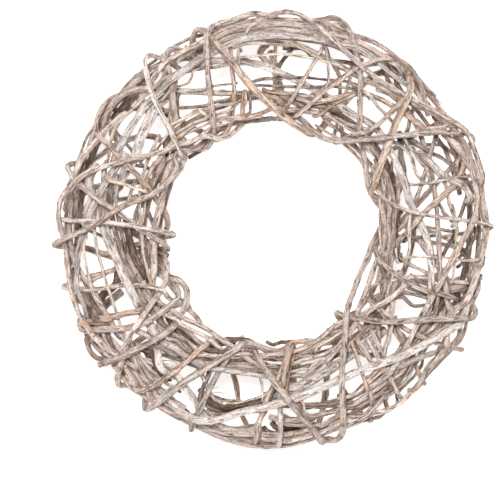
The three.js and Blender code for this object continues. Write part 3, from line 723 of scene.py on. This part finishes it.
def tan_by_place(middle):
    """How much of the tan wood shows at each point of a rod: all of it at the middle of a spot."""
    gap = np.linalg.norm(middle[:, None, :2] - tan_at[None, :, :], axis=2)
    near = np.clip(1.4 - gap / tan_reach[None, :], 0.0, 1.0).max(axis=1)
    return near * np.clip((middle[:, 2] - CENTRE_Z) / 12.0, 0.0, 1.0)


# How much of each bark is bare of whitewash, and its light, middle, dark and tan colours
LOOKS = {
    GREY: (0.44, (0.87, 0.755, 0.685), (0.62, 0.49, 0.42), (0.135, 0.078, 0.056), (0.63, 0.40, 0.265)),
    PALE: (0.38, (0.90, 0.82, 0.77), (0.69, 0.595, 0.545), (0.19, 0.13, 0.105), (0.70, 0.54, 0.43)),
    TAN: (0.46, (0.87, 0.73, 0.645), (0.65, 0.485, 0.39), (0.155, 0.086, 0.058), (0.67, 0.42, 0.27)),
    STRAW: (0.40, (0.86, 0.77, 0.665), (0.67, 0.56, 0.44), (0.27, 0.18, 0.12), (0.70, 0.53, 0.38)),
    # The dark and umber barks are darker copies of the grey one: partly darker bark, partly painted shade
    # for stems deep in the weave
    DARK_AND_SHADED: (0.54, (0.56, 0.46, 0.40), (0.33, 0.25, 0.21), (0.085, 0.052, 0.038), (0.42, 0.27, 0.18)),
    UMBER_AND_SHADED: (0.60, (0.42, 0.32, 0.26), (0.19, 0.13, 0.10), (0.055, 0.032, 0.023), (0.25, 0.15, 0.10)),
}
# How much tan each bark shows where it is patched with tan
TAN_SHARE = {TAN: 0.6, GREY: 0.25, PALE: 0.15, DARK_AND_SHADED: 0.25, STRAW: 0.3, UMBER_AND_SHADED: 0.2}
BARKS = {bark: bark_material(bark, *look) for bark, look in LOOKS.items()}
# The cut ends' material, which every rod and stem has as its second
END_GRAIN = end_material()


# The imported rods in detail

slot_of = {row["node"]: row["material_slot"] for row in frame["record"]["subparts"]}


class Rod:
    """A packed rod: its middle line, its thickness and the places of its joints."""

    def __init__(self, name):
        self.name = name
        self.slot = slot_of[name]
        self.flat = name.startswith("slab") and name != "slab_lower_left_short"
        self.rng = rng_for(name)
        middles, start_half, end_half = middle_line(frame["nodes"][name])
        middle = smooth_curve(middles, ROD_STEP)
        self.radius = np.linspace(start_half, end_half, len(middle))
        if not self.flat:
            self.radius *= ROUND_SHARE
        self.joints = joints_of(arc_lengths(middle)[-1], self.rng)
        self.middle = stray(middle, self.joints, self.rng, STRAY)

    def build(self):
        batch = Batch("vine_" + self.name)
        middle, radius, joints, rng = self.middle, self.radius, self.joints, self.rng
        tan = TAN_SHARE[self.slot]
        sweep(batch, middle, radius, rng, ROD_SIDES, joints, flat=self.flat, tan=tan, owner=self.name)
        if not self.flat:
            add_shoots(batch, middle, radius, joints, rng)
        add_shreds(batch, middle, radius, rng, ROD_SHREDS_APART)
        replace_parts(batch.build(self.slot), self.name)


rods = [Rod(name) for name in sorted(frame["nodes"])]
# Every second point of the rods, with the radius there
obstacles = [spot for rod in rods for spot in zip(rod.middle[::2], rod.radius[::2])]


# Finer stems between the rods


def on_ring(ring, tube, off):
    """A point by its angles round the ring and round the tube, and its distance off the skin."""
    r = RING_RADIUS + (HALF_WIDTH + off) * math.cos(tube)
    z = CENTRE_Z + (HALF_HEIGHT + off) * math.sin(tube)
    return np.array([r * math.cos(ring), r * math.sin(ring), z]) + RING_CENTRE


def from_plan(x, y, off):
    """A plan point on the front, as its place round the ring and round the tube."""
    ring = math.atan2(y, x)
    out = math.hypot(x, y) - RING_RADIUS
    share = out / (HALF_WIDTH + off)
    if share > 1:
        return ring, 0.0, out - HALF_WIDTH
    if share < -1:
        return ring, math.pi, -out - HALF_WIDTH
    return ring, math.acos(share), off


# Stems on the front: thickness, distance off the ring's skin, bark and plan points
# The deeper stems mostly take the dark and umber barks, which partly stand for painted shade in the weave
SEEN = [
    # Right
    (2.5, -1, STRAW, (142, 12), (142, -10), (141, -25), (140, -38)),
    (3, -1, STRAW, (108, 10), (107, -5), (106, -15), (103, -24)),
    (2.4, 1, STRAW, (103, -21), (114, -20), (125, -20)),
    (2.4, 0, STRAW, (131, -20), (150, -23), (162, -23)),
    (3.5, -3, GREY, (100, -21), (110, -28), (120, -33), (132, -37)),
    (5, -5, DARK_AND_SHADED, (107, 72), (114, 69), (123, 65)),
    (5, -9, DARK_AND_SHADED, (125, -42), (131, -55), (140, -68)),
    (3, -2, GREY, (95, 70), (103, 65), (108, 60), (112, 52), (116, 46)),
    (6.4, -4, PALE, (120, 59), (130, 50), (140, 43), (148, 38), (153, 31), (155, 26)),
    (3.4, -6, GREY, (136, 36), (138, 24), (141, 10)),
    (3, -8, DARK_AND_SHADED, (131, 20), (134, 14), (139, 10)),
    (3.6, -12, DARK_AND_SHADED, (154, 32), (150, 21), (145, 9)),
    (3, -10, DARK_AND_SHADED, (102, -7), (112, -5), (122, -4)),
    (3.4, -9, UMBER_AND_SHADED, (142, -3), (137, -11), (131, -21)),
    (3.4, -8, UMBER_AND_SHADED, (160, 0), (155, -12), (150, -24)),
    (3, -8, UMBER_AND_SHADED, (146, -11), (153, -20)),
    (3.6, -7, DARK_AND_SHADED, (108, 104), (107, 92), (105, 78), (106, 68)),
    (5.5, -5, DARK_AND_SHADED, (99, 72), (99.5, 58), (102, 42)),
    (3.4, -8, DARK_AND_SHADED, (129, 61), (137, 55), (144, 50)),
    (4.6, -10, DARK_AND_SHADED, (150, 43), (154, 37), (157, 31)),
    (2.6, 0, PALE, (102, 73), (108, 63), (118, 60)),
    (3.4, -3, TAN, (110, 62), (115, 52), (120, 40)),
    (3.5, 2, GREY, (116, 80), (133, 83), (145, 83.5), (151, 79)),
    # The bundle along the hole's right edge
    (3, -3, GREY, (86, 62), (87, 48), (89, 34), (90, 18)),
    (3, -4, UMBER_AND_SHADED, (92, 48), (94, 34), (95, 18)),
    (2.6, -2, PALE, (84, 52), (86, 38), (90, 22)),
    (3, -5, GREY, (97, 50), (97, 34), (96, 16), (95, 0)),
    (3, -3, GREY, (84, 30), (83, 12), (84, -8)),
    (3.4, -4, GREY, (91, 20), (91, 4), (93, -14)),
    (3, -5, UMBER_AND_SHADED, (97, 10), (96, -2), (97, -16)),
    (3.4, -4, DARK_AND_SHADED, (84, -22), (86, -34), (84, -46)),
    (3, -3, GREY, (90, -20), (90, -36), (88, -50)),
    # Top
    (2.6, -3, GREY, (68, 72), (74, 66), (80, 60)),
    (3.2, -3, GREY, (38, 96), (50, 88), (64, 80)),
    (3, -4, DARK_AND_SHADED, (40, 88), (50, 81), (60, 75)),
    (2.6, -4, DARK_AND_SHADED, (6, 123), (22, 122.5), (36, 121), (52, 119.5), (62, 117)),
    (2.6, -5, DARK_AND_SHADED, (-10, 116), (10, 116), (30, 115.5), (50, 114.5), (64, 112)),
    (5, -5, DARK_AND_SHADED, (6, 105), (18, 102), (32, 100), (46, 97)),
    (4.5, -4, GREY, (8, 98), (24, 96), (40, 92), (54, 86), (66, 80)),
    (3.6, -3, GREY, (-4, 110), (10, 109), (24, 107), (38, 103)),
    (4.6, -1, GREY, (-46, 156), (-28, 162), (-6, 165), (14, 165), (34, 160)),
    (4.2, -2, GREY, (-44, 152), (-26, 158), (-4, 160.5), (16, 160), (36, 155)),
    (3.2, 2, GREY, (-18, 165), (-25, 157), (-28.5, 147), (-29, 133)),
    (4, -1, GREY, (61, 152), (76, 146), (89, 138), (100, 129)),
    (4.6, -4, TAN, (-26, 107), (-27, 100), (-28, 92)),
    (2.4, -5, DARK_AND_SHADED, (-21, 106), (-21.5, 94)),
    (3, -6, DARK_AND_SHADED, (-18, 119), (-8, 121.5), (2, 122)),
    (2.6, -2, GREY, (-60, 115), (-48, 116), (-36, 117)),
    (2.4, 1, STRAW, (-24, 149), (0, 148), (15, 147), (28, 142), (34, 139)),
    (2.4, 0, STRAW, (-30, 138), (-10, 140), (10, 140), (30, 136), (46, 132)),
    (4, -14, UMBER_AND_SHADED, (15, 148), (9, 140), (3, 131)),
    (2.6, 0, GREY, (40, 152), (41, 140), (42, 130), (43, 120), (42, 108)),
    (2.6, 0, TAN, (33, 92), (44, 99.5), (53, 104), (64, 109)),
    (3, -2, GREY, (12, 89), (28, 103.5), (36, 112)),
    (3.2, -2, GREY, (65, 112), (76, 102), (90, 89)),
    (4, -8, UMBER_AND_SHADED, (82, 127), (92, 131)),
    (4, -7, UMBER_AND_SHADED, (93, 131), (98, 120), (101, 113)),
    # Top left and left
    (2.6, -1, TAN, (-86, 109), (-75, 117.5), (-63.5, 125), (-55, 130)),
    (5, -3, TAN, (-84, 122), (-82, 108), (-80, 92), (-78, 76), (-77, 66)),
    (3.6, -4, UMBER_AND_SHADED, (-79, 108), (-80, 96), (-79, 84)),
    (2.8, -1, GREY, (-78, 84), (-68, 91), (-56, 97), (-42, 101), (-30, 103)),
    (2.6, 0, STRAW, (-76, 79), (-64, 87), (-52, 92), (-38, 96)),
    (2.8, 0, GREY, (-76, 73), (-64, 80), (-52, 86), (-40, 90)),
    (3, -2, TAN, (-72, 67), (-62, 73), (-54, 78), (-46, 82)),
    (3, -4, DARK_AND_SHADED, (-84, 96), (-66, 99), (-50, 103), (-34, 107)),
    (6, -7, UMBER_AND_SHADED, (-92, 58), (-89, 68), (-84, 79)),
    (4.6, -4, DARK_AND_SHADED, (-157, 40), (-159, 24), (-160, 8), (-159, -6)),
    (3.6, -3, GREY, (-164, 34), (-166, 18), (-166, 2), (-163, -14)),
    (7, -5, PALE, (-146, 48), (-148, 38), (-144, 28), (-146, 14)),
    (3, -8, UMBER_AND_SHADED, (-118, 53), (-106, 52), (-95, 50)),
    (4.6, -6, DARK_AND_SHADED, (-107, 26), (-111, 14), (-114, 0)),
    (2.4, -3, STRAW, (-104, 24), (-107, 12), (-109, -2)),
    (3.6, -5, DARK_AND_SHADED, (-104, 18), (-99, 8), (-96, -4)),
    (6.5, -6, UMBER_AND_SHADED, (-117, 3), (-116, -10), (-113, -22), (-110, -34)),
    (4, -5, DARK_AND_SHADED, (-126, 12), (-123, 0), (-120, -12)),
    (3, -6, DARK_AND_SHADED, (-103, -8), (-101, -20), (-101, -30)),
    (3.4, -3, TAN, (-146, -39.5), (-137, -36), (-127, -31)),
    (3.4, -2, GREY, (-80, 63), (-66, 76), (-52, 83), (-36, 88)),
    (2.6, 0, STRAW, (-81, 87), (-70, 92), (-62, 97), (-53, 93)),
    (6.5, -4, DARK_AND_SHADED, (-92, 57), (-96.5, 46), (-99, 36)),
    (2.6, -1, PALE, (-85, 79), (-93, 70.5), (-99, 63), (-104, 57)),
    (3, 1, STRAW, (-130, 39), (-115, 35), (-103, 32)),
    (3, -3, GREY, (-113, 40), (-116, 32), (-118, 24)),
    (3, -3, GREY, (-129, 40), (-128.5, 28), (-127.5, 18)),
    (4, -4, GREY, (-137, 50), (-137, 35), (-136, 22)),
    (2.4, 1, STRAW, (-153.4, -11), (-151.5, -26), (-148, -38.6), (-143, -53)),
    # Lower left
    (7, -8, UMBER_AND_SHADED, (-125, -28), (-129, -38), (-133, -50), (-140, -63)),
    (5, -6, DARK_AND_SHADED, (-160, -52), (-151, -60), (-143, -70)),
    (5, -7, DARK_AND_SHADED, (-153, -52), (-146, -60), (-138, -68)),
    (5.6, -1, TAN, (-135, -69), (-123.4, -65.4), (-113.2, -62.8), (-104, -61)),
    (5.6, -2, TAN, (-157, -74), (-143, -72), (-136, -74)),
    (4.4, -3, DARK_AND_SHADED, (-149, -80), (-145, -90), (-138, -98)),
    (5, 0, DARK_AND_SHADED, (-151, -78), (-152.5, -87), (-149, -96), (-142, -102)),
    (4, -4, GREY, (-144, -80), (-140, -90), (-133, -99)),
    (4, -3, TAN, (-138, -82), (-135, -91), (-128, -99)),
    (3.4, -5, DARK_AND_SHADED, (-133, -82), (-130, -92), (-125, -100)),
    (3.5, -3, GREY, (-110, -96), (-105, -106), (-97, -118)),
    (7, -6, UMBER_AND_SHADED, (-104, -98), (-99, -108), (-92, -117)),
    (4, -4, UMBER_AND_SHADED, (-97, -97), (-92, -106), (-86, -114)),
    (6.5, -3, PALE, (-91, -99), (-86, -108), (-80, -117)),
    (4, -4, GREY, (-119, -104), (-116, -114), (-110, -124)),
    (3, -5, DARK_AND_SHADED, (-122, -108), (-120, -118), (-116, -126)),
    (5, -5, GREY, (-112, -78), (-101, -82), (-92, -90)),
    (4, -4, DARK_AND_SHADED, (-100, -92), (-88, -92), (-78, -96)),
    (3, -2, GREY, (-90, -82), (-80, -90), (-72, -96), (-64, -99)),
    (3.4, -3, GREY, (-78, -84), (-68, -90), (-60, -96)),
    (3.4, -4, DARK_AND_SHADED, (-74, -88), (-66, -95), (-56, -100)),
    (4, -4, GREY, (-72, -79), (-63, -86), (-52, -92)),
    (3.4, -6, UMBER_AND_SHADED, (-76, -80), (-66, -87), (-55, -94)),
    (4, 0, UMBER_AND_SHADED, (-47, -89), (-41, -87), (-35, -87)),
    (4, -5, UMBER_AND_SHADED, (-82, -72), (-78, -82), (-72, -90)),
    (4, -5, GREY, (-62, -114), (-57, -124), (-49, -135)),
    (4.4, -5, DARK_AND_SHADED, (-52, -108), (-56, -117), (-59, -126), (-62, -136)),
    # Bottom
    (4, -1, DARK_AND_SHADED, (-43, -88), (-30, -87.5), (-20, -89)),
    (3.6, -3, DARK_AND_SHADED, (-58, -92), (-44, -95), (-30, -97)),
    (3.6, -2, GREY, (-62, -98), (-45, -99.5), (-30, -99.5), (-14, -100)),
    (3.4, -4, DARK_AND_SHADED, (-45, -102), (-28, -102.5), (-12, -104)),
    (3.6, -2, GREY, (-48, -105), (-25, -106), (-5, -107)),
    (3.4, -4, DARK_AND_SHADED, (-46, -109), (-28, -110), (-10, -111)),
    (4.6, 0, PALE, (-45, -111), (-25, -113), (-10, -115), (2, -116)),
    (4.6, -3, UMBER_AND_SHADED, (-58, -131), (-48, -138), (-30, -138), (-12, -135)),
    (4.4, -4, UMBER_AND_SHADED, (-56, -138), (-47, -142), (-34, -141)),
    (5.4, -2, GREY, (-48, -146), (-30, -145), (-10, -141)),
    (2.5, -2, STRAW, (-32, -138), (-17, -134), (-4, -130)),
    (3.2, -4, DARK_AND_SHADED, (-28, -137.5), (-14, -135), (-2, -131.5)),
    (3, 1, STRAW, (-30, -98), (-14, -97), (1, -97.5)),
    (6, 6, TAN, (12, -90), (10, -95), (8.5, -101), (7, -110), (5, -120)),
    (3, -2, GREY, (-16, -100), (-4, -101), (8, -101)),
    (4.4, 1, PALE, (6, -126), (5, -136), (4.5, -147), (4, -158), (3, -169)),
    (5.6, -10, UMBER_AND_SHADED, (1, -157), (10, -156), (22, -154)),
    (5, -9, UMBER_AND_SHADED, (-4, -162), (10, -160), (24, -158)),
    (3.4, -3, DARK_AND_SHADED, (6, -149), (14, -149), (21, -148.5)),
    (4, -2, GREY, (-6, -165), (12, -164), (30, -160)),
    (3.6, -3, DARK_AND_SHADED, (-6, -168), (12, -167), (28, -163)),
    (4, -3, DARK_AND_SHADED, (10, -133), (17, -138), (22, -146)),
    # Lower right
    (3.8, -2, GREY, (14, -99), (28, -93), (42, -87)),
    (3.4, -4, DARK_AND_SHADED, (16, -102), (30, -97), (46, -90)),
    (3.6, -3, GREY, (12, -106), (28, -101), (44, -96)),
    (3.2, -4, STRAW, (12, -112), (22, -108), (34, -104)),
    (4, -4, DARK_AND_SHADED, (30, -90), (42, -84), (54, -78)),
    (3.4, -2, TAN, (38, -90), (48, -85), (58, -78)),
    (4.4, -4, DARK_AND_SHADED, (81, -72), (82, -84), (80, -95)),
    (3.6, -2, GREY, (91, -72), (90, -84), (86, -97)),
    (4, -3, TAN, (60, -90), (68, -83), (78, -76)),
    (3.4, -3, GREY, (76, -80), (82, -92), (86, -100)),
    (5, -5, GREY, (70, -86), (74, -95), (78, -104)),
    (4, -5, DARK_AND_SHADED, (96, -78), (100, -86), (97, -95)),
    (3.2, -2, PALE, (86, -100), (96, -93), (106, -88)),
    (4.6, -5, DARK_AND_SHADED, (64, -94), (72, -98), (82, -98)),
    (4, -2, GREY, (60, -138), (76, -128), (92, -114)),
    (3.6, -3, TAN, (58, -132), (74, -122), (90, -108)),
    (3.4, -4, DARK_AND_SHADED, (62, -143), (80, -133), (98, -117)),
    (3.4, -2, GREY, (75, -115), (84, -108), (94, -100)),
    (3.4, -3, STRAW, (88, -114), (98, -105), (106, -97)),
    (3.4, -2, DARK_AND_SHADED, (94, -120), (102, -112), (109, -101)),
    (3.4, -3, TAN, (56, -141), (70, -135), (84, -127)),
    (3.2, -2, GREY, (60, -147), (80, -139), (98, -126), (107, -113)),
    (4.4, -6, DARK_AND_SHADED, (58, -132), (70, -125), (82, -116), (92, -107)),
    (4, -3, GREY, (36, -153), (44, -149), (56, -146)),
    (4, -5, DARK_AND_SHADED, (38, -158), (50, -153)),
    (7, -8, UMBER_AND_SHADED, (123, -66), (127, -59), (131, -53)),
    (6, -7, UMBER_AND_SHADED, (131, -67), (134, -60), (136, -53)),
    (4, -4, DARK_AND_SHADED, (112, -86), (116, -78), (122, -70)),
    (4, -3, GREY, (118, -84), (124, -76), (130, -68)),
    (3.4, -3, GREY, (126, -82), (134, -76), (143, -71)),
    (4, -5, DARK_AND_SHADED, (100, -82), (107, -88), (116, -88)),
    (7, -8, GREY, (131, -50), (142, -46), (154, -44)),
    (4.4, -9, DARK_AND_SHADED, (133, -42), (144, -52)),
    (3.4, -4, DARK_AND_SHADED, (150, -56), (154, -48), (157, -42)),
    (3, 0, TAN, (14, -96), (11.5, -106), (9, -114), (7.5, -122), (8, -132)),
    (2.5, -2, STRAW, (-12, -116), (-10, -125), (-9, -135)),
    (2.4, 0, STRAW, (20, -129), (22.5, -140), (24.5, -149)),
    (3, -1, GREY, (10, -97), (25, -92), (37, -86)),
    (3, -3, DARK_AND_SHADED, (24, -138), (38, -137), (52, -135)),
    (3, -3, DARK_AND_SHADED, (25, -142.5), (38, -141), (50, -138.5)),
    (3.6, -2, GREY, (26, -147), (38, -145), (52, -141)),
    (3, -1, GREY, (6, -151), (15, -151), (27, -149)),
    (2.5, 1, STRAW, (57, -78), (48, -83), (40, -88), (33, -92)),
    (5.4, -6, GREY, (95, -36), (94, -48), (94, -58), (91, -70)),
    (4, 0, TAN, (112, -126), (117, -115), (121, -106), (126, -98), (134, -90)),
    (3.4, -5, DARK_AND_SHADED, (98, -47), (110, -50), (122, -54)),
    (3.4, -5, DARK_AND_SHADED, (96, -55), (108, -57), (120, -59)),
    (3, -1, GREY, (93, -72), (90, -82), (88, -90), (84, -99)),
]

# Stems by rule: how many, where round the tube in degrees, how far off the skin, and how thick
FILL = [
    ("back_wraps", 11, (188, 352), (-6, -1), (2.6, 4.4)),
    ("back_hoops", 9, (196, 344), (-7, 0), (2.6, 4.6)),
    ("outer_hoops", 7, (322, 372), (-6, -2), (3.0, 4.6)),
    ("outer_wraps", 20, (300, 384), (-6, -2), (2.6, 4.4)),
    ("inner_wraps", 11, (165, 236), (-6, -2), (2.6, 4.0)),
]


class Stem:
    """A finer stem: its points, which settle among the rods, its thickness and its bark."""

    def __init__(self, name, d, bark, points):
        self.name = name
        self.bark = bark
        self.d = d
        self.points = smooth_curve(points, SETTLE_STEP)
        self.home = self.points.copy()


def beyond(spot, beside, share, deeper):
    """A spot further along a stem's line, and deeper in the weave."""
    turn = spot[0] - beside[0]
    ring = spot[0] + math.atan2(math.sin(turn), math.cos(turn)) * share
    tube = spot[1] + (spot[1] - beside[1]) * share
    return ring, tube, spot[2] - deeper


stems = []
for n, (d, off, bark, *plan) in enumerate(SEEN):
    spots = [from_plan(x, y, off) for x, y in plan]
    before = [beyond(spots[0], spots[1], *dive) for dive in DIVES]
    after = [beyond(spots[-1], spots[-2], *dive) for dive in reversed(DIVES)]
    course = [on_ring(*spot) for spot in before + spots + after]
    stems.append(Stem(f"seen_{n}", d, bark, course))

BARK_DRAW = [GREY] * 9 + [DARK_AND_SHADED] * 4 + [TAN] * 2 + [PALE] * 2 + [STRAW] * 3
for kind, count, (low, high), offs, widths in FILL:
    rng = rng_for(kind)
    for n in range(count):
        ring = math.tau * (n + rng.uniform(-0.45, 0.45)) / count
        off = rng.uniform(*offs)
        if kind.endswith("wraps"):
            arc = math.radians(rng.uniform(6, 34)) * rng.choice((-1, 1))
            start = low + rng.uniform(0, 40)
            stop = high - rng.uniform(0, 40)
        else:
            arc = math.radians(rng.uniform(34, 96))
            start = rng.uniform(low, high)
            stop = min(high, max(low, start + rng.uniform(-38, 38)))
        course = []
        for i in range(9):
            share = i / 8
            tube = math.radians(start + (stop - start) * share)
            course.append(on_ring(ring + arc * share, tube, off + rng.uniform(-1.3, 1.3)))
        stems.append(Stem(f"{kind}_{n}", rng.uniform(*widths), rng.choice(BARK_DRAW), course))


# Openings through the weave as the camera sees them, which the finer stems pass beside:
# half width, and middles in plan
WINDOWS = {
    1.5: [(73, 52), (78, 59), (77, 137), (25, 103)],
    1.8: [(22, 143.5), (29, 144), (28, 119)],
    2.0: [
        (-88, 29), (-146, 16), (-121, -70), (-116, -117), (109.5, 85), (104, 61), (107, 47), (76, 67),
        (-23, 98), (-76, 104),
    ],
    2.5: [
        (-121, 77), (-133, 24), (-156, 14), (-153, -42), (-108, -23), (-103, -35), (-156, -62), (-80, -91),
        (-134, -94), (-115, -107), (-88, -105), (-15, -146), (-3, -143), (38, -94), (24, -113), (29, -144),
        (64, -80), (87, -80), (60, -144), (69, -144), (111, -56), (129, -86), (99, -131), (135, 50.5),
        (47, 125), (43, 113), (20, 92), (69, 141), (52, 129), (-85, 129), (-74, 134), (-58, 104),
        (-86, 88), (-73, 95), (-63, 91), (-53, 96), (-72, 88), (-71, 75), (-64, 78),
    ],
    3.0: [
        (-103, 55), (-153, 26), (-101, 24), (-104, 5), (-135, -55), (-86, -82), (-82, -121), (-4, -124),
        (25, -107), (34, -151), (100, -56), (85, -139), (113, -104), (102, 85), (131, 65), (144, 66),
        (146, 20), (-20, 144), (46, 141), (-26, 144), (-70, 123), (-65, 125),
    ],
    3.5: [
        (-104, 46), (-123, 24), (-95, 17), (-111, -4), (-134, -38), (-114, -34), (-93, -59), (-22, -146),
        (46, -129), (71, -87), (92, -136), (117, 48), (24, 128), (91, 121), (-104, 117), (-107, 107),
    ],
    4.0: [
        (-132, 34), (-123, 33), (-63, -118), (-74, -129), (12, -145), (19, -93), (93, -94), (44, -162),
        (113, -65), (144, -83), (84, 104), (73, 104), (10, 134), (-60, 118),
    ],
    4.5: [(-113, 47), (-69, -110), (77, 98), (-96, 125)],
    5.0: [(-92, 83), (-98, 71)],
    5.5: [(-42, -119), (-40, -129), (60, -124)],
    7.0: [(136, 109)],
    8.0: [(-20, -125)],
}
window_at = np.array([spot for spots in WINDOWS.values() for spot in spots]) + RING_CENTRE[:2]
window_half = np.array([half for half, spots in WINDOWS.items() for _ in spots])


def beside_windows(points, half):
    """How far each point of a stem has to move sideways to leave the openings clear."""
    farther = 1.0 + (SCALE_PLANE - points[:, 2:]) / CAMERA_HEIGHT
    points = EYE + (points[:, :2] - EYE) / farther
    along = np.gradient(points, axis=0)
    along /= np.maximum(np.linalg.norm(along, axis=1), 0.01)[:, None]
    across = np.stack([-along[:, 1], along[:, 0]], axis=1)
    away = points[:, None, :] - window_at[None, :, :]
    gap = np.linalg.norm(away, axis=2)
    short = np.clip(window_half[None, :] + half - gap, 0.0, None)
    way = np.where((away * across[:, None, :]).sum(axis=2) < 0, -1.0, 1.0)
    return np.hstack([across * (short * way).sum(axis=1)[:, None], np.zeros((len(points), 1))])


def keep_off(push, p, half, others, share):
    """Adds to a point's push what moves it clear of others, given by place, distance and radius."""
    for place, gap, radius in others:
        wanted = half + radius + CLEARANCE
        if TINY < gap < wanted:
            push += (p - np.array(place)) * ((wanted - gap) / gap) * share


def settle(stems, rounds):
    """Moves the finer stems clear of the rods, of each other and of the openings, and above the floor."""
    fixed = tree_of([p for p, _ in obstacles])
    largest = max(r for _, r in obstacles)
    owner = [k for k, stem in enumerate(stems) for _ in stem.points]
    for turn in range(rounds):
        own = tree_of([p for stem in stems for p in stem.points])
        hold = HOLD * (1 - turn / rounds)
        for k, stem in enumerate(stems):
            shift = stem.points - stem.home
            mean = shift.copy()
            mean[1:-1] = (shift[:-2] + shift[2:]) / 2
            mean[0] = shift[1]
            mean[-1] = shift[-2]
            stem.points += (mean - shift) * EVEN_OUT - shift * hold
            half = stem.d / 2
            aside = beside_windows(stem.points, half)
            for i, p in enumerate(stem.points):
                push = aside[i] * PUSH
                found = fixed.find_range(p, half + largest + CLEARANCE)
                keep_off(push, p, half, [(q, gap, obstacles[j][1]) for q, j, gap in found], PUSH)
                found = own.find_range(p, stem.d + STEMS_NEAR)
                found = [(q, gap, stems[owner[j]].d / 2) for q, j, gap in found if owner[j] != k]
                keep_off(push, p, half, found, PUSH / 2)
                size = np.linalg.norm(push)
                if size > LARGEST_PUSH:
                    push *= LARGEST_PUSH / size
                from_end = min(i, len(stem.points) - 1 - i)
                stem.points[i] = p + push * min(1.0, END_SHARE * (1 + from_end))
                stem.points[i][2] = max(stem.points[i][2], half)


settle(stems, ROUNDS)

# Centre points of every rod and stem, for the painted shade where they lie close
crowd = Crowd(
    [(rod.name, rod.middle[::2], rod.radius[::2]) for rod in rods]
    + [(stem.name, stem.points, [stem.d / 2] * len(stem.points)) for stem in stems]
)
for rod in rods:
    rod.build()

batches = {}
for stem in stems:
    rng = rng_for("stem " + stem.name)
    middle = smooth_curve(stem.points, STEM_STEP)
    joints = joints_of(arc_lengths(middle)[-1], rng)
    middle = stray(middle, joints, rng, STRAY * STEM_STRAY)
    radius = np.linspace(1.0, rng.uniform(0.78, 0.95), len(middle)) * stem.d / 2
    batch = batches.setdefault(stem.bark, Batch("stems_" + stem.bark))
    share = TAN_SHARE[stem.bark]
    sweep(batch, middle, radius, rng, STEM_SIDES, joints, rough=1.1, tan=share, owner=stem.name)
    add_shreds(batch, middle, radius, rng, STEM_SHREDS_APART)
for bark in sorted(batches):
    batches[bark].build(bark)


# Fine fibres: thickness and points in the ring's frame
FIBRES = [
    (0.7, (164, -39, 44), (168, -36, 47), (171, -34, 50), (174, -32, 52)),
    (0.6, (-45, -84, 62), (-41, -84, 70), (-37, -87, 72), (-33, -88, 66)),
    (0.6, (-46, -86, 62), (-44, -82, 72), (-40, -81, 75), (-37, -84, 74)),
    (0.6, (0, -97, 70), (-1, -91, 74), (3, -86, 76), (8, -87, 75), (10, -92, 74), (7, -97, 72)),
    (0.7, (-142, -104, 52), (-145, -108, 55), (-150, -108, 56)),
    (0.7, (-140, -103, 52), (-141, -109, 54), (-146, -112, 55)),
    (0.6, (-139, -105, 50), (-144, -104, 58), (-149, -102, 60)),
    (1.8, (124, 99, 54), (131, 96, 54), (138, 92, 52), (147, 87, 50)),
    (0.7, (-56, -129, 44), (-52, -126, 50), (-46, -124, 54)),
    (0.6, (-52, -130, 40), (-45, -129, 46), (-38, -130.5, 48), (-31, -136, 44)),
    (0.6, (-12, 120, 56), (-13, 124, 62), (-12, 128, 66)),
]
rng = rng_for("fibres")
fibres = Batch("loose_fibres")
for d, *points in FIBRES:
    course = smooth_curve(np.array(points, float) + RING_CENTRE, FIBRE_STEP)
    sweep(fibres, course, np.linspace(1.0, 0.45, len(course)) * d / 2, rng, FIBRE_SIDES, rough=0.4)
fibres.build(TAN)


# The floor, the light and the camera


def floor_material():
    white = (1.0, 1.0, 1.0)
    return Nodes("floor").finish(
        Base_Color=(0.93, 0.93, 0.93), Roughness=0.9, Specular_IOR_Level=0.1,
        Emission_Color=white, Emission_Strength=0.62,
    )


# In metres: half the floor's width, and how far it lies under the wreath
FLOOR_REACH = 3.0
FLOOR_BELOW = 0.0002
floor_mesh = bpy.data.meshes.new("floor")
corners = ((-1, -1), (1, -1), (1, 1), (-1, 1))
corners = [(x * FLOOR_REACH, y * FLOOR_REACH, -FLOOR_BELOW) for x, y in corners]
floor_mesh.from_pydata(corners, [], [(0, 1, 2, 3)])
floor_mesh.materials.append(floor_material())
floor = add_object("floor", floor_mesh)


def area_light(name, location, size, power):
    """A round light that faces the wreath's middle."""
    light = bpy.data.lights.new(name, "AREA")
    light.shape = "DISK"
    light.size = size
    light.energy = power
    obj = add_object(name, light)
    obj.location = location
    obj.rotation_euler = (-Vector(location)).to_track_quat("-Z", "Y").to_euler()


# The main light stands close to the camera's line, so that the floor in the gaps is lit too
area_light("key", (-0.30, 0.42, 2.4), 0.55, 53.0)
area_light("fill", (1.3, 0.5, 1.5), 1.0, 9.6)
area_light("low", (-0.4, -1.5, 1.2), 1.0, 6.0)

world = bpy.data.worlds.new("studio")
bpy.context.scene.world = world
world.use_nodes = True
sky = world.node_tree.nodes["Background"]
sky.inputs[0].default_value = (1.0, 1.0, 1.0, 1.0)
sky.inputs[1].default_value = 0.25

bpy.context.scene.view_settings.view_transform = "Standard"

lens = bpy.data.cameras.new("camera")
lens.sensor_width = SENSOR
lens.sensor_fit = "HORIZONTAL"
lens.lens = SENSOR * CAMERA_HEIGHT / FRAME_WIDTH
lens.clip_start = 0.05
lens.clip_end = 20.0
camera = add_object("camera", lens)
camera.location = (EYE[0] * MM, EYE[1] * MM, (SCALE_PLANE + CAMERA_HEIGHT) * MM)
bpy.context.scene.camera = camera
